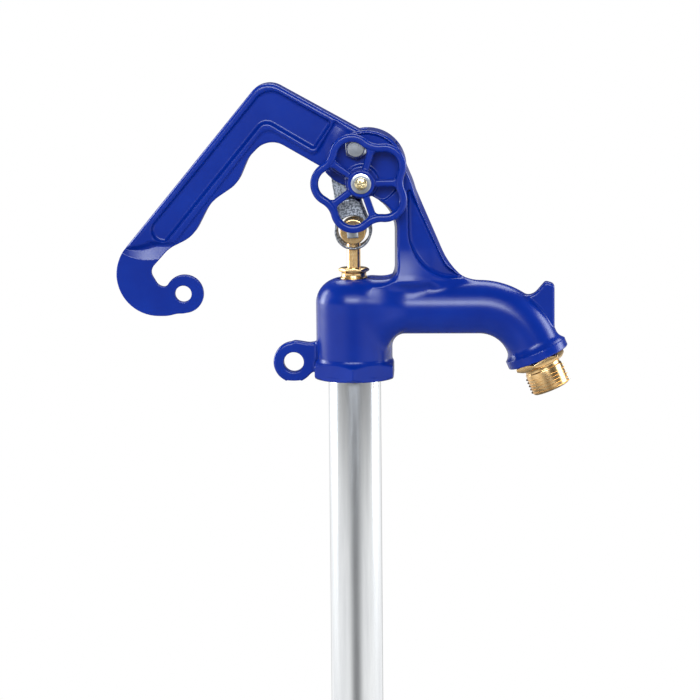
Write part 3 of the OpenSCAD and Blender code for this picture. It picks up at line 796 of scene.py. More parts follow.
@dataclass
class HeadCasting:
    """The head: hexagon foot, round body, spout with a bail horn, padlock eye, arm and fork."""

    hex_flats: float = 49.8
    hex_height: float = 11.6
    body_radius: float = 24.2
    body_height: float = 63.6
    shoulder: float = 15.0
    spout_radius: float = 17.0
    spout_height: float = 45.4
    spout_run: float = 79.6
    bend: float = 36.0
    lean: float = math.radians(22.8)
    outlet: float = 11.4
    collar_radius: float = 20.2
    collar_height: float = 5.4
    horn_from_bend: float = 33.6
    horn_height: float = 15.8
    horn_half: float = 5.0
    pivot: Point2 = PIVOT
    wheel_axis: Point2 = WHEEL_AXIS
    cheek_radius: float = 24.6
    rim: float = 2.0
    face_depth: float = 1.8
    pocket_depth: float = 4.5
    foot_flare: float = 5.5
    lever_hub: float = LEVER_HUB
    fork_half: float = 15.5
    arm_half: float = 13.0
    slot_half: float = 9.9
    eye: Point2 = (-38.9, 10.0)
    eye_radius: float = 13.0
    eye_hole: float = 6.4
    eye_depth: tuple[float, float] = (-1.4, 7.4)
    stud_bore: float = 4.08
    pipe_socket: float = 16.75
    pipe_bore: float = 13.3
    stem_bore: float = 4.6
    packing_bore: float = 8.05
    waterway: float = 10.0
    shank_bore: float = 12.9
    shank_depth: float = 11.5

    def __post_init__(self) -> None:
        """Works out the places that follow from the sizes."""
        self.cheek = (self.pivot[0] + 6.3, self.pivot[1] - 13.6)
        self.right = self.cheek[0] + self.cheek_radius
        self.top = self.spout_height + self.spout_radius
        self.bend_centre = (self.spout_run, self.spout_height - self.bend)
        self.bend_end = (self.spout_run + self.bend * math.cos(self.lean),
                         self.bend_centre[1] + self.bend * math.sin(self.lean))
        self.out = (math.sin(self.lean), -math.cos(self.lean))

    def cheek_plate(self, x: Array, z: Array, radius: float, round_off: float) -> Array:
        """A cheek's round plate, cut along its slanting lower edge.

        Args:
            x: Places along X.
            z: Places along Z.
            radius: The plate's radius.
            round_off: The radius of the corner at the cut.

        Returns:
            The distance at each place, negative inside.
        """
        angle = math.radians(35.3)
        px = x - self.cheek[0] + self.cheek_radius
        pz = z - self.cheek[1] - 1.7 - self.cheek_radius + radius
        below = -(px * math.sin(angle) + pz * math.cos(angle))
        return meet(circle(x, z, self.cheek, radius), below, round_off)

    def spout_path(self, x: Array, z: Array) -> tuple[Array, Array]:
        """Distance to the spout's centre line, and the way along its straight outlet.

        Args:
            x: Places along X.
            z: Places along Z.

        Returns:
            The distance to the line, and the way past the end of the bend.
        """
        run = np.hypot(x - np.clip(x, 0, self.spout_run), z - self.spout_height)
        qx, qz = x - self.bend_centre[0], z - self.bend_centre[1]
        angle = np.arctan2(qz, qx)
        bent = np.where((angle >= self.lean) & (angle <= math.pi / 2),
                        np.abs(np.hypot(qx, qz) - self.bend), np.inf)
        ex, ez = x - self.bend_end[0], z - self.bend_end[1]
        way = ex * self.out[0] + ez * self.out[1]
        side = np.abs(ex * self.out[1] - ez * self.out[0])
        straight = np.where(way >= 0, side, np.inf)
        return np.minimum(np.minimum(run, bent), straight), np.where(qx > 0, way, -50.0)

    def body(self, x: Array, y: Array, z: Array) -> Array:
        """The round body on its hexagon foot.

        Args:
            x: Places along X.
            y: Places along Y.
            z: Places along Z.

        Returns:
            The distance at each place, negative inside.
        """
        rho = np.hypot(x, y)
        a = rho - (self.body_radius - self.shoulder)
        b = z - (self.body_height - self.shoulder)
        shell = np.hypot(np.maximum(a, 0), np.maximum(b, 0)) + np.minimum(np.maximum(a, b), 0)
        shell = np.maximum(shell - self.shoulder, 4 - z)
        half = self.hex_flats / 2
        flats = hexagon_flats(x, y, self.hex_flats, 0.4)
        slope = math.radians(30)
        bevel = (z - self.hex_height) * math.cos(slope) + (rho - half * 0.97) * math.sin(slope)
        under = -z * math.cos(slope) + (rho - half) * math.sin(slope)
        foot = meet(meet(flats, bevel, 0.5), meet(under, -z, 0.3), 0.4)
        return join(shell, foot, 1.8)

    def spout(self, x: Array, y: Array, z: Array) -> Array:
        """The spout, its collar and the bail horn.

        Args:
            x: Places along X.
            y: Places along Y.
            z: Places along Z.

        Returns:
            The distance at each place, negative inside.
        """
        path, way = self.spout_path(x, z)
        tube = np.hypot(path, y) - self.spout_radius
        face = way - self.outlet
        swell = np.clip((way - self.outlet + self.collar_height + 6) / 6, 0, 1)
        band = tube - (self.collar_radius - self.spout_radius) * swell ** 2.2
        tip = self.spout_height + self.horn_height
        at = self.spout_run + self.horn_from_bend
        horn = plate(outline(x, z, rounded_outline([
            (at - 8, self.spout_height - 12, 0), (at - 6, tip - 9, 0), (at + 1.3, tip - 7.6, 8),
            (at + 8.3, tip + 0.5, 2.2), (at + 14.2, tip - 1.2, 3.2),
            (at + 14.2, self.spout_height - 12, 0)])), y, -self.horn_half, self.horn_half, 1.7)
        return meet(join(band, horn, 1.5), face, 0.9)

    def lug(self, x: Array, y: Array, z: Array) -> Array:
        """The padlock eye at the foot.

        Args:
            x: Places along X.
            y: Places along Y.
            z: Places along Z.

        Returns:
            The distance at each place, negative inside.
        """
        ex, ez = self.eye
        flange = outline(x, z, rounded_outline([
            (ex + 1, ez + self.eye_radius - 0.6, 0), (-28, ez + 12.4, 5), (-18, ez + 14, 0),
            (-18, ez - 6, 0), (-28.4, ez - 5.6, 0), (ex, ez - 5, 0)]))
        shape = join(circle(x, z, self.eye, self.eye_radius), flange, 3)
        solid = plate(shape, y, *self.eye_depth, 1.8)
        return cut(solid, circle(x, z, self.eye, self.eye_hole) + 0 * y, 1.0)

    def arm(self, x: Array, y: Array, z: Array) -> Array:
        """The arm with its pockets and the two cheeks, before the lever's slot is cut.

        Args:
            x: Places along X.
            y: Places along Y.
            z: Places along Z.

        Returns:
            The distance at each place, negative inside.
        """
        right, top, pz = self.right, self.top, self.pivot[1]
        arm = outline(x, z, rounded_outline([
            (right - 2.2, self.cheek[1] + 9.5, 0), (right - 0.2, self.cheek[1] + 1.6, 15),
            (right + 31.7, top - 1.4, 45), (right + 60, top - 8, 0), (right + 40, top - 11, 0),
            (right + 14, top - 2.4, 0), (12, top - 3, 0), (12, top - 1.5, 0),
            (right - 7.5, top - 1.5, 12),
            (right - 7.3, pz - 41.6, 22), (right - 21.5, pz - 31.5, 0), (*self.cheek, 0)]))
        shape = np.minimum(self.cheek_plate(x, z, self.cheek_radius, 4), arm)
        half = self.arm_half + (self.fork_half - self.arm_half) * rise(z, pz - 66, pz - 38)
        half = half - 9 * rise(x, right + 15, right + 40)
        foot = (1 - rise(z, top - 14, top + 26)) * (1 - rise(x, right - 2, right + 24))
        half = half + self.foot_flare * foot
        lean = 0.17 * (1 - rise(z, pz - 40, pz - 20)) * (np.hypot(y, 1.5) - 1.5)
        solid = meet(shape + lean, np.abs(y) - half, 1.9)
        face = self.cheek_plate(x, z, self.cheek_radius - self.rim, 3)
        solid = cut(solid, plate(face, np.abs(y), self.fork_half - self.face_depth, 40, 1.0), 0.6)
        pocket = outline(x, z, rounded_outline([
            (right + 0.8, pz - 20.5, 1.5), (right + 25.3, top + 10.1, 15),
            (right + 37.5, top + 1.4, 0.8), (right + 1.8, top + 1.8, 31)]))
        depth = half - self.pocket_depth - np.abs(y)
        wall = (pocket + 0.2 * (depth + self.pocket_depth)) / 1.02
        return cut(solid, meet(wall, depth, 1.8), 0.9)

    def slot(self, x: Array, z: Array) -> Array:
        """The room between the cheeks, which the web over the lever's hub closes on the right.

        Args:
            x: Places along X.
            z: Places along Z.

        Returns:
            The distance at each place, negative inside.
        """
        right, (px, pz) = self.right, self.pivot
        high, low = math.radians(131), math.radians(6)
        above = (x - px) * math.sin(low) - (z - pz) * math.cos(low)
        beside = self.lever_hub + 1 - (x - px) * math.sin(high) + (z - pz) * math.cos(high)
        web = np.maximum(np.maximum(above, beside), self.lever_hub + 2 - circle(x, z, self.pivot, 0))
        below = np.maximum(np.abs(x + 16 + 1.3) - right, np.abs(z - pz + 24) - 24)
        return np.minimum(cut(circle(x, z, self.pivot, 26.3), web), below)

    def field(self, x: Array, y: Array, z: Array) -> Array:
        """Distance to the whole casting.

        Args:
            x: Places along X.
            y: Places along Y.
            z: Places along Z.

        Returns:
            The distance at each place, negative inside.
        """
        fillet = 8 + 8 * rise(np.abs(y), 5, 15) * rise(x, 4, 24)
        solid = join(self.body(x, y, z), self.spout(x, y, z), fillet)
        fillet = 4 + 6.5 * rise(np.abs(y), 4, 13) * (1 - rise(x, 36, 62))
        solid = join(solid, self.arm(x, y, z), fillet)
        boss = plate(circle(x, z, self.wheel_axis, 10.5), y, -self.fork_half - 2.2, 0, 1.0)
        solid = join(solid, boss, 1.2)
        solid = join(solid, self.lug(x, y, z), 2.0)
        solid = cut(solid, plate(self.slot(x, z), y, -self.slot_half, self.slot_half, 0), 0.6)
        solid = cut(solid, circle(x, z, self.pivot, BOLT_BORE) + 0 * y, 0.4)
        solid = cut(solid, np.maximum(circle(x, z, self.wheel_axis, self.stud_bore), y), 0.3)
        for hollow in self.hollows(x, y, z):
            solid = cut(solid, hollow, 0.5)
        return solid

    def hollows(self, x: Array, y: Array, z: Array) -> list[Array]:
        """The socket, the chamber, the packing bore and the waterway.

        Args:
            x: Places along X.
            y: Places along Y.
            z: Places along Z.

        Returns:
            The distance to each hollow.
        """
        chamber = cut(bar(x, y, z, 24, 54, 18.8, 2), bar(x, y, z, 38, 70, 11.55, 1.5), 0.5)
        path, way = self.spout_path(x, z)
        water = np.maximum(np.maximum(np.hypot(path, y) - self.waterway, 14.8 - x), way - 40)
        shank = np.maximum(np.hypot(path, y) - self.shank_bore, self.outlet - self.shank_depth - way)
        return [bar(x, y, z, -9, PIPE_IN_HEAD, self.pipe_socket),
                bar(x, y, z, 15, 26, self.pipe_bore), chamber,
                bar(x, y, z, 30, 45, self.stem_bore), bar(x, y, z, 41, 80, self.packing_bore),
                bar(x, y, z, self.body_height - 1.6, 80, 11), np.minimum(water, shank)]

    def build(self, cell: float) -> None:
        """Sculpts and dresses the casting."""
        made = Sculpt(self.field, (-55, -30.5, -2), (139, 30.5, 164), cell, keep=0.55).build("cast_head")
        Berth("standpipe", ("head_casting",), "blue_enamel", Finishes.ENAMEL).settle(made)


@dataclass
class HandLever:
    """The lever: a panelled blade with finger scallops, a hub, a heel and a flat hook."""

    pivot: Point2 = PIVOT
    half: float = 9.6
    crank: float = 12.1
    hub: float = LEVER_HUB
    heel: float = 25.4
    hook: float = 12.2
    panel_depth: float = 3.0
    step_depth: float = 1.9
    hook_hole: Point2 = (-111.0, -93.1)
    ramp_arc: Corner = (-132.5, -37.5, 33.8)
    hook_face: float = 2.4
    hook_dip: float = 1.9
    hook_thickness: float = 5.2
    slot_half: float = 5.3
    slot_end: float = 8.4
    pin_bore: float = 3.55
    eye_bore: float = 5.25

    def field(self, x: Array, y: Array, z: Array) -> Array:
        """Distance to the lever.

        Args:
            x: Places along X.
            y: Places along Y.
            z: Places along Z.

        Returns:
            The distance at each place, negative inside.
        """
        x, z = x - self.pivot[0], z - self.pivot[1]
        hub, (hx, hz) = self.hub, self.hook_hole
        end = (hx + 0.8, hz)
        blade = outline(x, z, rounded_outline([
            (-58.5, 44.2, 14), (hub * math.sin(math.radians(29)), hub * math.cos(math.radians(29)), 0),
            (6, -9, 0), (-17.4, -15.4, 0), (-55.6, 6.7, 14), (-68.4, -6.5, 16), (-75.6, -23.1, 20),
            (-92.8, -34.6, 26), (-104, -56.3, 22), (-119.8, -64.1, 20), (-132.4, -78.2, 6),
            (-126.8, -87.8, 6), (hx + 2, hz + 2, 0), (hx, hz - self.hook + 0.6, 0),
            (-121, -107.2, 18), (-183.4, -107.2, 26.7)]))
        heel = np.maximum(circle(x, z, (0, 0), self.heel), outline(x, z, np.array(
            [[1, 3], [-50.8, -43.2], [0, -76.2], [50.8, -45.7]])))
        shape = np.minimum(join(blade, circle(x, z, end, self.hook), 2.0),
                           np.minimum(circle(x, z, (0, 0), hub), heel))
        solid = plate(shape, y, -self.half, self.half, 2.8)
        panel = outline(x, z, rounded_outline([
            (-56.6, 39.5, 12), (-14.9, 15.8, 2.5), (-26.7, -1.6, 2.5), (-57.9, 16.8, 6),
            (-121.6, -60.2, 2), (-140.2, -60.6, 8)]))
        step = outline(x, z, rounded_outline([
            (-117.4, -61.5, 1), (-57.1, 13.5, 8), (-26.4, -4.6, 3.5), (-13.6, 16.6, 0.6),
            (4, 6, 0), (-10, -60, 0), (-117, -110, 0)]))
        floor = self.half - self.step_depth * rise(np.hypot(x, z), 11.5, 21)
        low = floor - np.abs(y)
        wall = (step + 0.4 * (low + self.step_depth)) / 1.08
        solid = cut(solid, meet(wall, low, 1.4), 1.2)
        depth = self.half - self.panel_depth - np.abs(y)
        wall = (panel + 0.35 * (depth + self.panel_depth)) / 1.06
        solid = cut(solid, meet(wall, depth, 1.4), 1.2)
        return self.openings(self.hook_plate(solid, x, y, z), x, y, z)

    def hook_plate(self, solid: Array, x: Array, y: Array, z: Array) -> Array:
        """Thins the lever to its flat hook, over a crescent ramp in front and a slope behind.

        Args:
            solid: Distance to the lever so far.
            x: Places along X.
            y: Places along Y.
            z: Places along Z.

        Returns:
            The distance to the thinned lever.
        """
        front = -self.half + self.hook_face
        back = front + self.hook_thickness
        cx, cz, radius = self.ramp_arc
        way = -circle(x, z, (cx, cz), radius) / np.clip(7.6 + (x + 130.4) * 0.28, 3.2, 9)
        step = np.maximum(rise(way, 1, 1.9), rise(z, -63, -58))
        before = front + self.hook_dip * np.clip(way, 0, 1) * (1 - step) - self.hook_face * step - y
        solid = meet(solid, before, 0.5)
        steep = math.radians(42)
        behind = -(z + 60.6) * math.sin(steep) + (y - self.half) * math.cos(steep)
        return meet(solid, melt(behind, y - back, 3.0), 1.4)

    def openings(self, solid: Array, x: Array, y: Array, z: Array) -> Array:
        """Cuts the link's slot and the bores.

        Args:
            solid: Distance to the lever so far.
            x: Places along X.
            y: Places along Y.
            z: Places along Z.

        Returns:
            The distance to the lever with its openings.
        """
        slot = np.minimum(circle(x, z, (-self.crank, 0), self.slot_end), outline(
            x, z, np.array([[-20.5, 0], [-34, -26], [-34, -60], [60, -60], [60, self.slot_end],
                            [-self.crank, self.slot_end]])))
        solid = cut(solid, plate(slot, y, -self.slot_half, self.slot_half, 0), 0.6)
        solid = cut(solid, circle(x, z, (0, 0), BOLT_BORE) + 0 * y, 0.3)
        solid = cut(solid, circle(x, z, (-self.crank, 0), self.pin_bore) + 0 * y, 0.3)
        return cut(solid, circle(x, z, self.hook_hole, self.eye_bore) + 0 * y, 0.6)

    def build(self, cell: float) -> None:
        """Sculpts and dresses the lever."""
        made = Sculpt(self.field, (-151, -11, 40), (30, 11, 193), cell, keep=0.6).build("cast_lever")
        Berth("lever", ("lever",), "blue_enamel", Finishes.ENAMEL).settle(made)


@dataclass
class FlowWheel:
    """The five-lobed hand wheel of the flow lock."""

    axis: Point2 = WHEEL_AXIS
    lobe_at: float = 17.8
    lobe: float = 14.2
    hollow: float = 12.0
    rim: float = 5.0
    rim_back: float = -21.9
    thickness: float = 5.6
    hub: float = 8.6
    hub_back: float = -19.5
    hub_front: float = WHEEL_FACE
    spoke: float = 4.4
    first_spoke: float = 1.0
    bore: float = 3.25

    def outer_edge(self, x: Array, z: Array) -> Array:
        """Distance to the wheel's outer edge: five lobes with a hollow between each two.

        Args:
            x: Places along X.
            z: Places along Z.

        Returns:
            The distance at each place, negative inside.
        """
        fold = math.radians(36)
        angle = np.arctan2(z, x) - math.radians(self.first_spoke) - fold
        angle = np.abs((angle + fold) % (2 * fold) - fold)
        radius = np.hypot(x, z)
        u, v = radius * np.cos(angle), radius * np.sin(angle)
        reach = self.lobe_at * math.cos(fold) + math.sqrt(
            (self.lobe + self.hollow) ** 2 - (self.lobe_at * math.sin(fold)) ** 2)
        cx, cz = reach * math.cos(fold), reach * math.sin(fold)
        beyond = (cx - self.lobe_at) * v - cz * (u - self.lobe_at)
        return np.where(beyond < 0, np.hypot(u - self.lobe_at, v) - self.lobe,
                        self.hollow - np.hypot(u - cx, v - cz))

    def field(self, x: Array, y: Array, z: Array) -> Array:
        """Distance to the wheel.

        Args:
            x: Places along X.
            y: Places along Y.
            z: Places along Z.

        Returns:
            The distance at each place, negative inside.
        """
        x, z = x - self.axis[0], z - self.axis[1]
        edge = self.outer_edge(x, z)
        spokes = np.full(edge.shape, 100.0)
        for k in range(5):
            a = math.radians(self.first_spoke + 72 * k)
            along = x * math.cos(a) + z * math.sin(a)
            across = np.abs(-x * math.sin(a) + z * math.cos(a))
            spokes = np.minimum(spokes, np.maximum(across - self.spoke / 2, 3 - along))
        half = self.rim / 2
        ring = np.abs(edge + half) - half
        web = np.maximum(join(ring, spokes, 2.2), edge)
        front = self.rim_back - self.thickness
        rim = plate(ring, y, front, self.rim_back, 2.0)
        spoked = plate(web, y, front + 0.9, self.rim_back - 0.6, 1.5)
        hub = plate(np.hypot(x, z) - self.hub, y, self.hub_front, self.hub_back, 0.8)
        solid = join(np.minimum(rim, spoked), hub, 1.2)
        return cut(solid, np.hypot(x, z) - self.bore + 0 * y, 0.3)

    def build(self, cell: float) -> None:
        """Sculpts and dresses the wheel.

        Args:
            cell: The grid's cell in millimetres.
        """
        reach = self.lobe_at + self.lobe + 2
        low = (self.axis[0] - reach, -29.5, self.axis[1] - reach)
        high = (self.axis[0] + reach, -18, self.axis[1] + reach)
        made = Sculpt(self.field, low, high, cell, keep=0.7).build("cast_wheel")
        Berth("flow_wheel", ("flow_wheel",), "blue_enamel", Finishes.ENAMEL).settle(made)


@dataclass
class ForgedLink:
    """The galvanised link: a tongue in the lever's slot and two eyes round the barrel."""

    eye: Point2 = BARREL
    pin: Point2 = LINK_PIN
    half: float = 9.6
    eye_radius: float = 11.7
    bore: float = 10.1
    tongue: float = 7.4
    tongue_half: float = 5.0
    gap_half: float = 5.8
    pin_bore: float = 3.58

    def field(self, x: Array, y: Array, z: Array) -> Array:
        """Distance to the link.

        Args:
            x: Places along X.
            y: Places along Y.
            z: Places along Z.

        Returns:
            The distance at each place, negative inside.
        """
        dx, dz = self.pin[0] - self.eye[0], self.pin[1] - self.eye[1]
        length = math.hypot(dx, dz)
        c, s = dz / length, -dx / length
        x, z = x - self.eye[0], z - self.eye[1]
        x, z = x * c + z * s, -x * s + z * c
        tongue = np.minimum(circle(x, z, (0, length), self.tongue), outline(x, z, np.array(
            [[-7.4, length], [-8, 18], [-8, 12.5], [8, 12.5], [8, 20], [4.6, length - 24],
             [4.6, length - 5.8]])))
        yoke = np.minimum(circle(x, z, (0, 0), self.eye_radius), outline(x, z, np.array(
            [[-11.7, 0], [-8, 18], [-5, 21], [5, 21], [8, 18], [11.7, 0]])))
        solid = join(plate(tongue, y, -self.tongue_half, self.tongue_half, 1.2),
                     plate(yoke, y, -self.half, self.half, 1.2), 2.0)
        solid = cut(solid, circle(x, z, (0, 0), self.bore) + 0 * y, 0.6)
        gap = np.maximum(np.abs(x) - 60, z - self.eye_radius - 2)
        solid = cut(solid, plate(gap, y, -self.gap_half, self.gap_half, 1.0), 0.6)
        return cut(solid, circle(x, z, (0, length), self.pin_bore) + 0 * y, 0.3)

    def build(self, cell: float) -> None:
        """Sculpts and dresses the link."""
        made = Sculpt(self.field, (-21, -11, 81), (15, 11, 158), cell, keep=0.7).build("forged_link")
        Berth("link", ("link",), "hot_dip_zinc", Finishes.FORGING).settle(made)


@dataclass
class BarrelClamp:
    """The brass barrel in the link's eyes, and the square-headed screw that clamps the stem."""

    centre: Point2 = BARREL
    radius: float = 8.15
    half: float = 11.0
    stem_bore: float = 4.35
    head: float = 3.8
    head_height: float = 5.0
    screw_bore: float = 3.05

    def barrel(self, x: Array, y: Array, z: Array) -> Array:
        """Distance to the barrel.

        Args:
            x: Places along X.
            y: Places along Y.
            z: Places along Z.

        Returns:
            The distance at each place, negative inside.
        """
        solid = plate(circle(x, z, self.centre, self.radius), y, -self.half, self.half, 0.8)
        solid = cut(solid, np.hypot(x, y) - self.stem_bore + 0 * z, 0.2)
        return cut(solid, np.maximum(circle(x, z, self.centre, self.screw_bore), y), 0.2)

    def screw(self, x: Array, y: Array, z: Array) -> Array:
        """Distance to the set screw.

        Args:
            x: Places along X.
            y: Places along Y.
            z: Places along Z.

        Returns:
            The distance at each place, negative inside.
        """
        z = z - self.centre[1]
        turn = math.radians(4)
        u, v = x * math.cos(turn) + z * math.sin(turn), z * math.cos(turn) - x * math.sin(turn)
        square = meet(np.abs(u) - self.head + 0.25, np.abs(v) - self.head + 0.25, 0.6)
        head = plate(square, y, -self.half - self.head_height, -self.half, 0.7)
        crown = np.sqrt(x ** 2 + z ** 2 + (y + self.half + self.head_height - 11) ** 2) - 11
        shank = plate(np.hypot(x, z) - 3, y, -self.half - 1, -4.4, 0.3)
        return np.minimum(meet(head, crown, 0.5), shank)

    def build(self) -> None:
        """Sculpts and dresses both pieces."""
        made = Sculpt(self.barrel, (-10, -13, 84), (10, 13, 105), 0.5).build("clamp_barrel")
        Berth("plunger_rod", ("barrel",), "bright_brass", Finishes.BRIGHT_BRASS).settle(made)
        made = Sculpt(self.screw, (-6, -18, 88.5), (6, -3, 100.5), 0.35).build("square_screw")
        Berth("plunger_rod", ("set_screw",), "zinc_plate", Finishes.ZINC).settle(made)


# Turned pieces and threads


@dataclass(frozen=True)
class Thread:
    """A screw thread's ridge, from its first to its last height.

    A ridge of negative height points inwards, as in a nut.
    """

    root: float
    height: float
    pitch: float
    low: float
    high: float


def thread_tree() -> bpy.types.NodeTree:
    """Makes the Geometry Nodes tree that sweeps a thread's ridge round a turned piece.

    Returns:
        The tree, made once. Its inputs are the piece, the thread's sizes and its material.
    """
    name = "swept_thread"
    if name in bpy.data.node_groups:
        return bpy.data.node_groups[name]
    tree = bpy.data.node_groups.new(name, "GeometryNodeTree")
    face = tree.interface
    face.new_socket("Geometry", in_out="INPUT", socket_type="NodeSocketGeometry")
    for label in ("Root radius", "Ridge height", "Pitch", "Turns", "First height"):
        face.new_socket(label, in_out="INPUT", socket_type="NodeSocketFloat")
    face.new_socket("Material", in_out="INPUT", socket_type="NodeSocketMaterial")
    face.new_socket("Geometry", in_out="OUTPUT", socket_type="NodeSocketGeometry")
    given = add(tree, "NodeGroupInput").outputs
    climb = add(tree, "ShaderNodeMath", {"operation": "MULTIPLY"},
                i0=given["Pitch"], i1=given["Turns"])
    path = add(tree, "GeometryNodeCurveSpiral", {"Resolution": 64}, Rotations=given["Turns"],
               Start_Radius=given["Root radius"], End_Radius=given["Root radius"], Height=climb)
    upright = add(tree, "GeometryNodeSetCurveNormal", {"mode": "Z_UP"}, Curve=path)
    along = add(tree, "GeometryNodeSplineParameter")
    from_end = add(tree, "ShaderNodeMath", {"operation": "PINGPONG"},
                   i0=along.outputs["Factor"])
    from_end.inputs[1].default_value = 0.5
    turns_in = add(tree, "ShaderNodeMath", {"operation": "MULTIPLY"},
                   i0=from_end, i1=given["Turns"])
    run_out = add(tree, "ShaderNodeMapRange",
                  {"From Min": 0.0, "From Max": 0.45, "To Min": 0.12, "To Max": 1.0}, Value=turns_in)
    faded = add(tree, "GeometryNodeSetCurveRadius", Curve=upright, Radius=run_out)
    depth = add(tree, "ShaderNodeMath", {"operation": "MULTIPLY"}, i0=given["Ridge height"])
    depth.inputs[1].default_value = -1.0
    crest = add(tree, "ShaderNodeMath", {"operation": "MULTIPLY"}, i0=given["Pitch"])
    crest.inputs[1].default_value = 0.16
    base = add(tree, "ShaderNodeMath", {"operation": "MULTIPLY"}, i0=given["Pitch"])
    base.inputs[1].default_value = 0.9
    ridge = add(tree, "GeometryNodeCurvePrimitiveQuadrilateral", {"mode": "TRAPEZOID"},
                Height=depth, Bottom_Width=base, Top_Width=crest)
    half = add(tree, "ShaderNodeMath", {"operation": "MULTIPLY"}, i0=depth)
    half.inputs[1].default_value = 0.42
    shift = add(tree, "ShaderNodeCombineXYZ", Y=half)
    sideways = add(tree, "GeometryNodeTransform", Geometry=ridge, Translation=shift)
    swept = add(tree, "GeometryNodeCurveToMesh", {"Fill Caps": True}, Curve=faded,
                Profile_Curve=sideways)
    lift = add(tree, "ShaderNodeCombineXYZ", Z=given["First height"])
    raised = add(tree, "GeometryNodeTransform", Geometry=swept, Translation=lift)
    both = add(tree, "GeometryNodeJoinGeometry")
    tree.links.new(raised.outputs[0], both.inputs[0])
    tree.links.new(given["Geometry"], both.inputs[0])
    real = add(tree, "GeometryNodeRealizeInstances", Geometry=both)
    dressed = add(tree, "GeometryNodeSetMaterial", Geometry=real, Material=given["Material"])
    add(tree, "NodeGroupOutput", Geometry=dressed)
    return tree


def sweep_thread(made: bpy.types.Object, thread: Thread, finish: Finishes) -> None:
    """Sweeps a thread round a turned piece and bakes it in.

    Args:
        made: The piece, in millimetres round its own Z axis.
        thread: The thread's sizes.
        finish: The finish of the piece.
    """
    tree = thread_tree()
    sweep = made.modifiers.new("thread", "NODES")
    sweep.node_group = tree
    values = {"Root radius": thread.root, "Ridge height": thread.height, "Pitch": thread.pitch,
              "Turns": (thread.high - thread.low) / thread.pitch, "First height": thread.low,
              "Material": finish.value.material()}
    for item in tree.interface.items_tree:
        if item.in_out == "INPUT" and item.name in values:
            sweep[item.identifier] = values[item.name]
    bake_modifiers(made)


@dataclass
class RiserPipe:
    """The galvanised tube that carries the head."""

    outer: float = 16.7
    inner: float = 13.3
    low: float = -835.0
    high: float = 20.0
    chamfer: float = 0.9

    def build(self) -> None:
        """Turns and dresses the pipe."""
        c = self.chamfer
        made = turned("riser_tube", lambda angle: [
            (self.inner, self.low), (self.outer - c, self.low), (self.outer, self.low + c),
            (self.outer, self.high - c), (self.outer - c, self.high), (self.inner, self.high)], 128)
        finish_edges(made, 0.2)
        Berth("standpipe", ("riser_pipe",), "galvanised_pipe", Finishes.GALVANISED).settle(
            place(made, (0, 0, 0)))


@dataclass
class FootValve:
    """The cast brass valve body at the foot, with its inlet thread and its drain."""

    hex_flats: float = 42.0
    hex_height: float = 14.0
    radius: float = 21.5
    height: float = 66.0
    inlet: float = 13.2
    inlet_ridge: float = 1.1
    inlet_length: float = 18.0
    seat: float = 7.5
    seat_height: float = 26.0
    bore: float = 11.5
    ledge: float = 46.0
    socket: float = 16.75
    drain: float = 1.5
    pitch: float = 2.3

    def field(self, x: Array, y: Array, z: Array) -> Array:
        """Distance to the valve body.

        Args:
            x: Places along X.
            y: Places along Y.
            z: Places along Z.

        Returns:
            The distance at each place, negative inside.
        """
        z = z + HEAD_FOOT
        flats = hexagon_flats(x, y, self.hex_flats, 0.8)
        rho = np.hypot(x, y)
        slope = math.radians(30)
        over = (z - self.hex_height) * math.cos(slope) + (rho - 20.6) * math.sin(slope)
        under = -z * math.cos(slope) + (rho - 20.6) * math.sin(slope)
        foot = meet(meet(flats, over, 0.7), meet(under, -z, 0.4), 0.6)
        shell = bar(x, y, z, 9, self.height, self.radius, 1.5)
        waist = np.maximum(shell, -np.maximum(np.maximum(21 - z, z - self.ledge + 9),
                                              self.radius - 0.8 - rho))
        solid = join(foot, waist, 1.6)
        for hollow in (bar(x, y, z, -9, self.inlet_length, self.inlet),
                       bar(x, y, z, 9, self.seat_height + 2, self.seat),
                       bar(x, y, z, self.seat_height, self.ledge + 2, self.bore, 0.6),
                       bar(x, y, z, self.ledge, self.height + 9, self.socket),
                       np.maximum(np.hypot(y, z - self.ledge + 2.5) - self.drain, x)):
            solid = cut(solid, hollow, 0.4)
        return solid

    def build(self) -> None:
        """Sculpts the body, lays the inlet's thread in it and dresses both."""
        made = Sculpt(self.field, (-26, -26, -HEAD_FOOT - 2), (26, 26, 68 - HEAD_FOOT), 0.8,
                      keep=0.6).build("cast_valve")
        thread = turned("inlet_thread", lambda angle: [
            (self.inlet - 0.1, 1.0), (self.inlet + 0.4, 1.0), (self.inlet + 0.4, 16.5),
            (self.inlet - 0.1, 16.5)], 64)
        sweep_thread(thread, Thread(self.inlet, -self.inlet_ridge, self.pitch, 2.2, 15.6),
                   Finishes.CAST_BRASS)
        place(thread, (0, 0, -HEAD_FOOT))
        berth = Berth("standpipe", ("valve_body",), "cast_brass", Finishes.CAST_BRASS)
        berth.settle(made)
        berth.settle(thread)


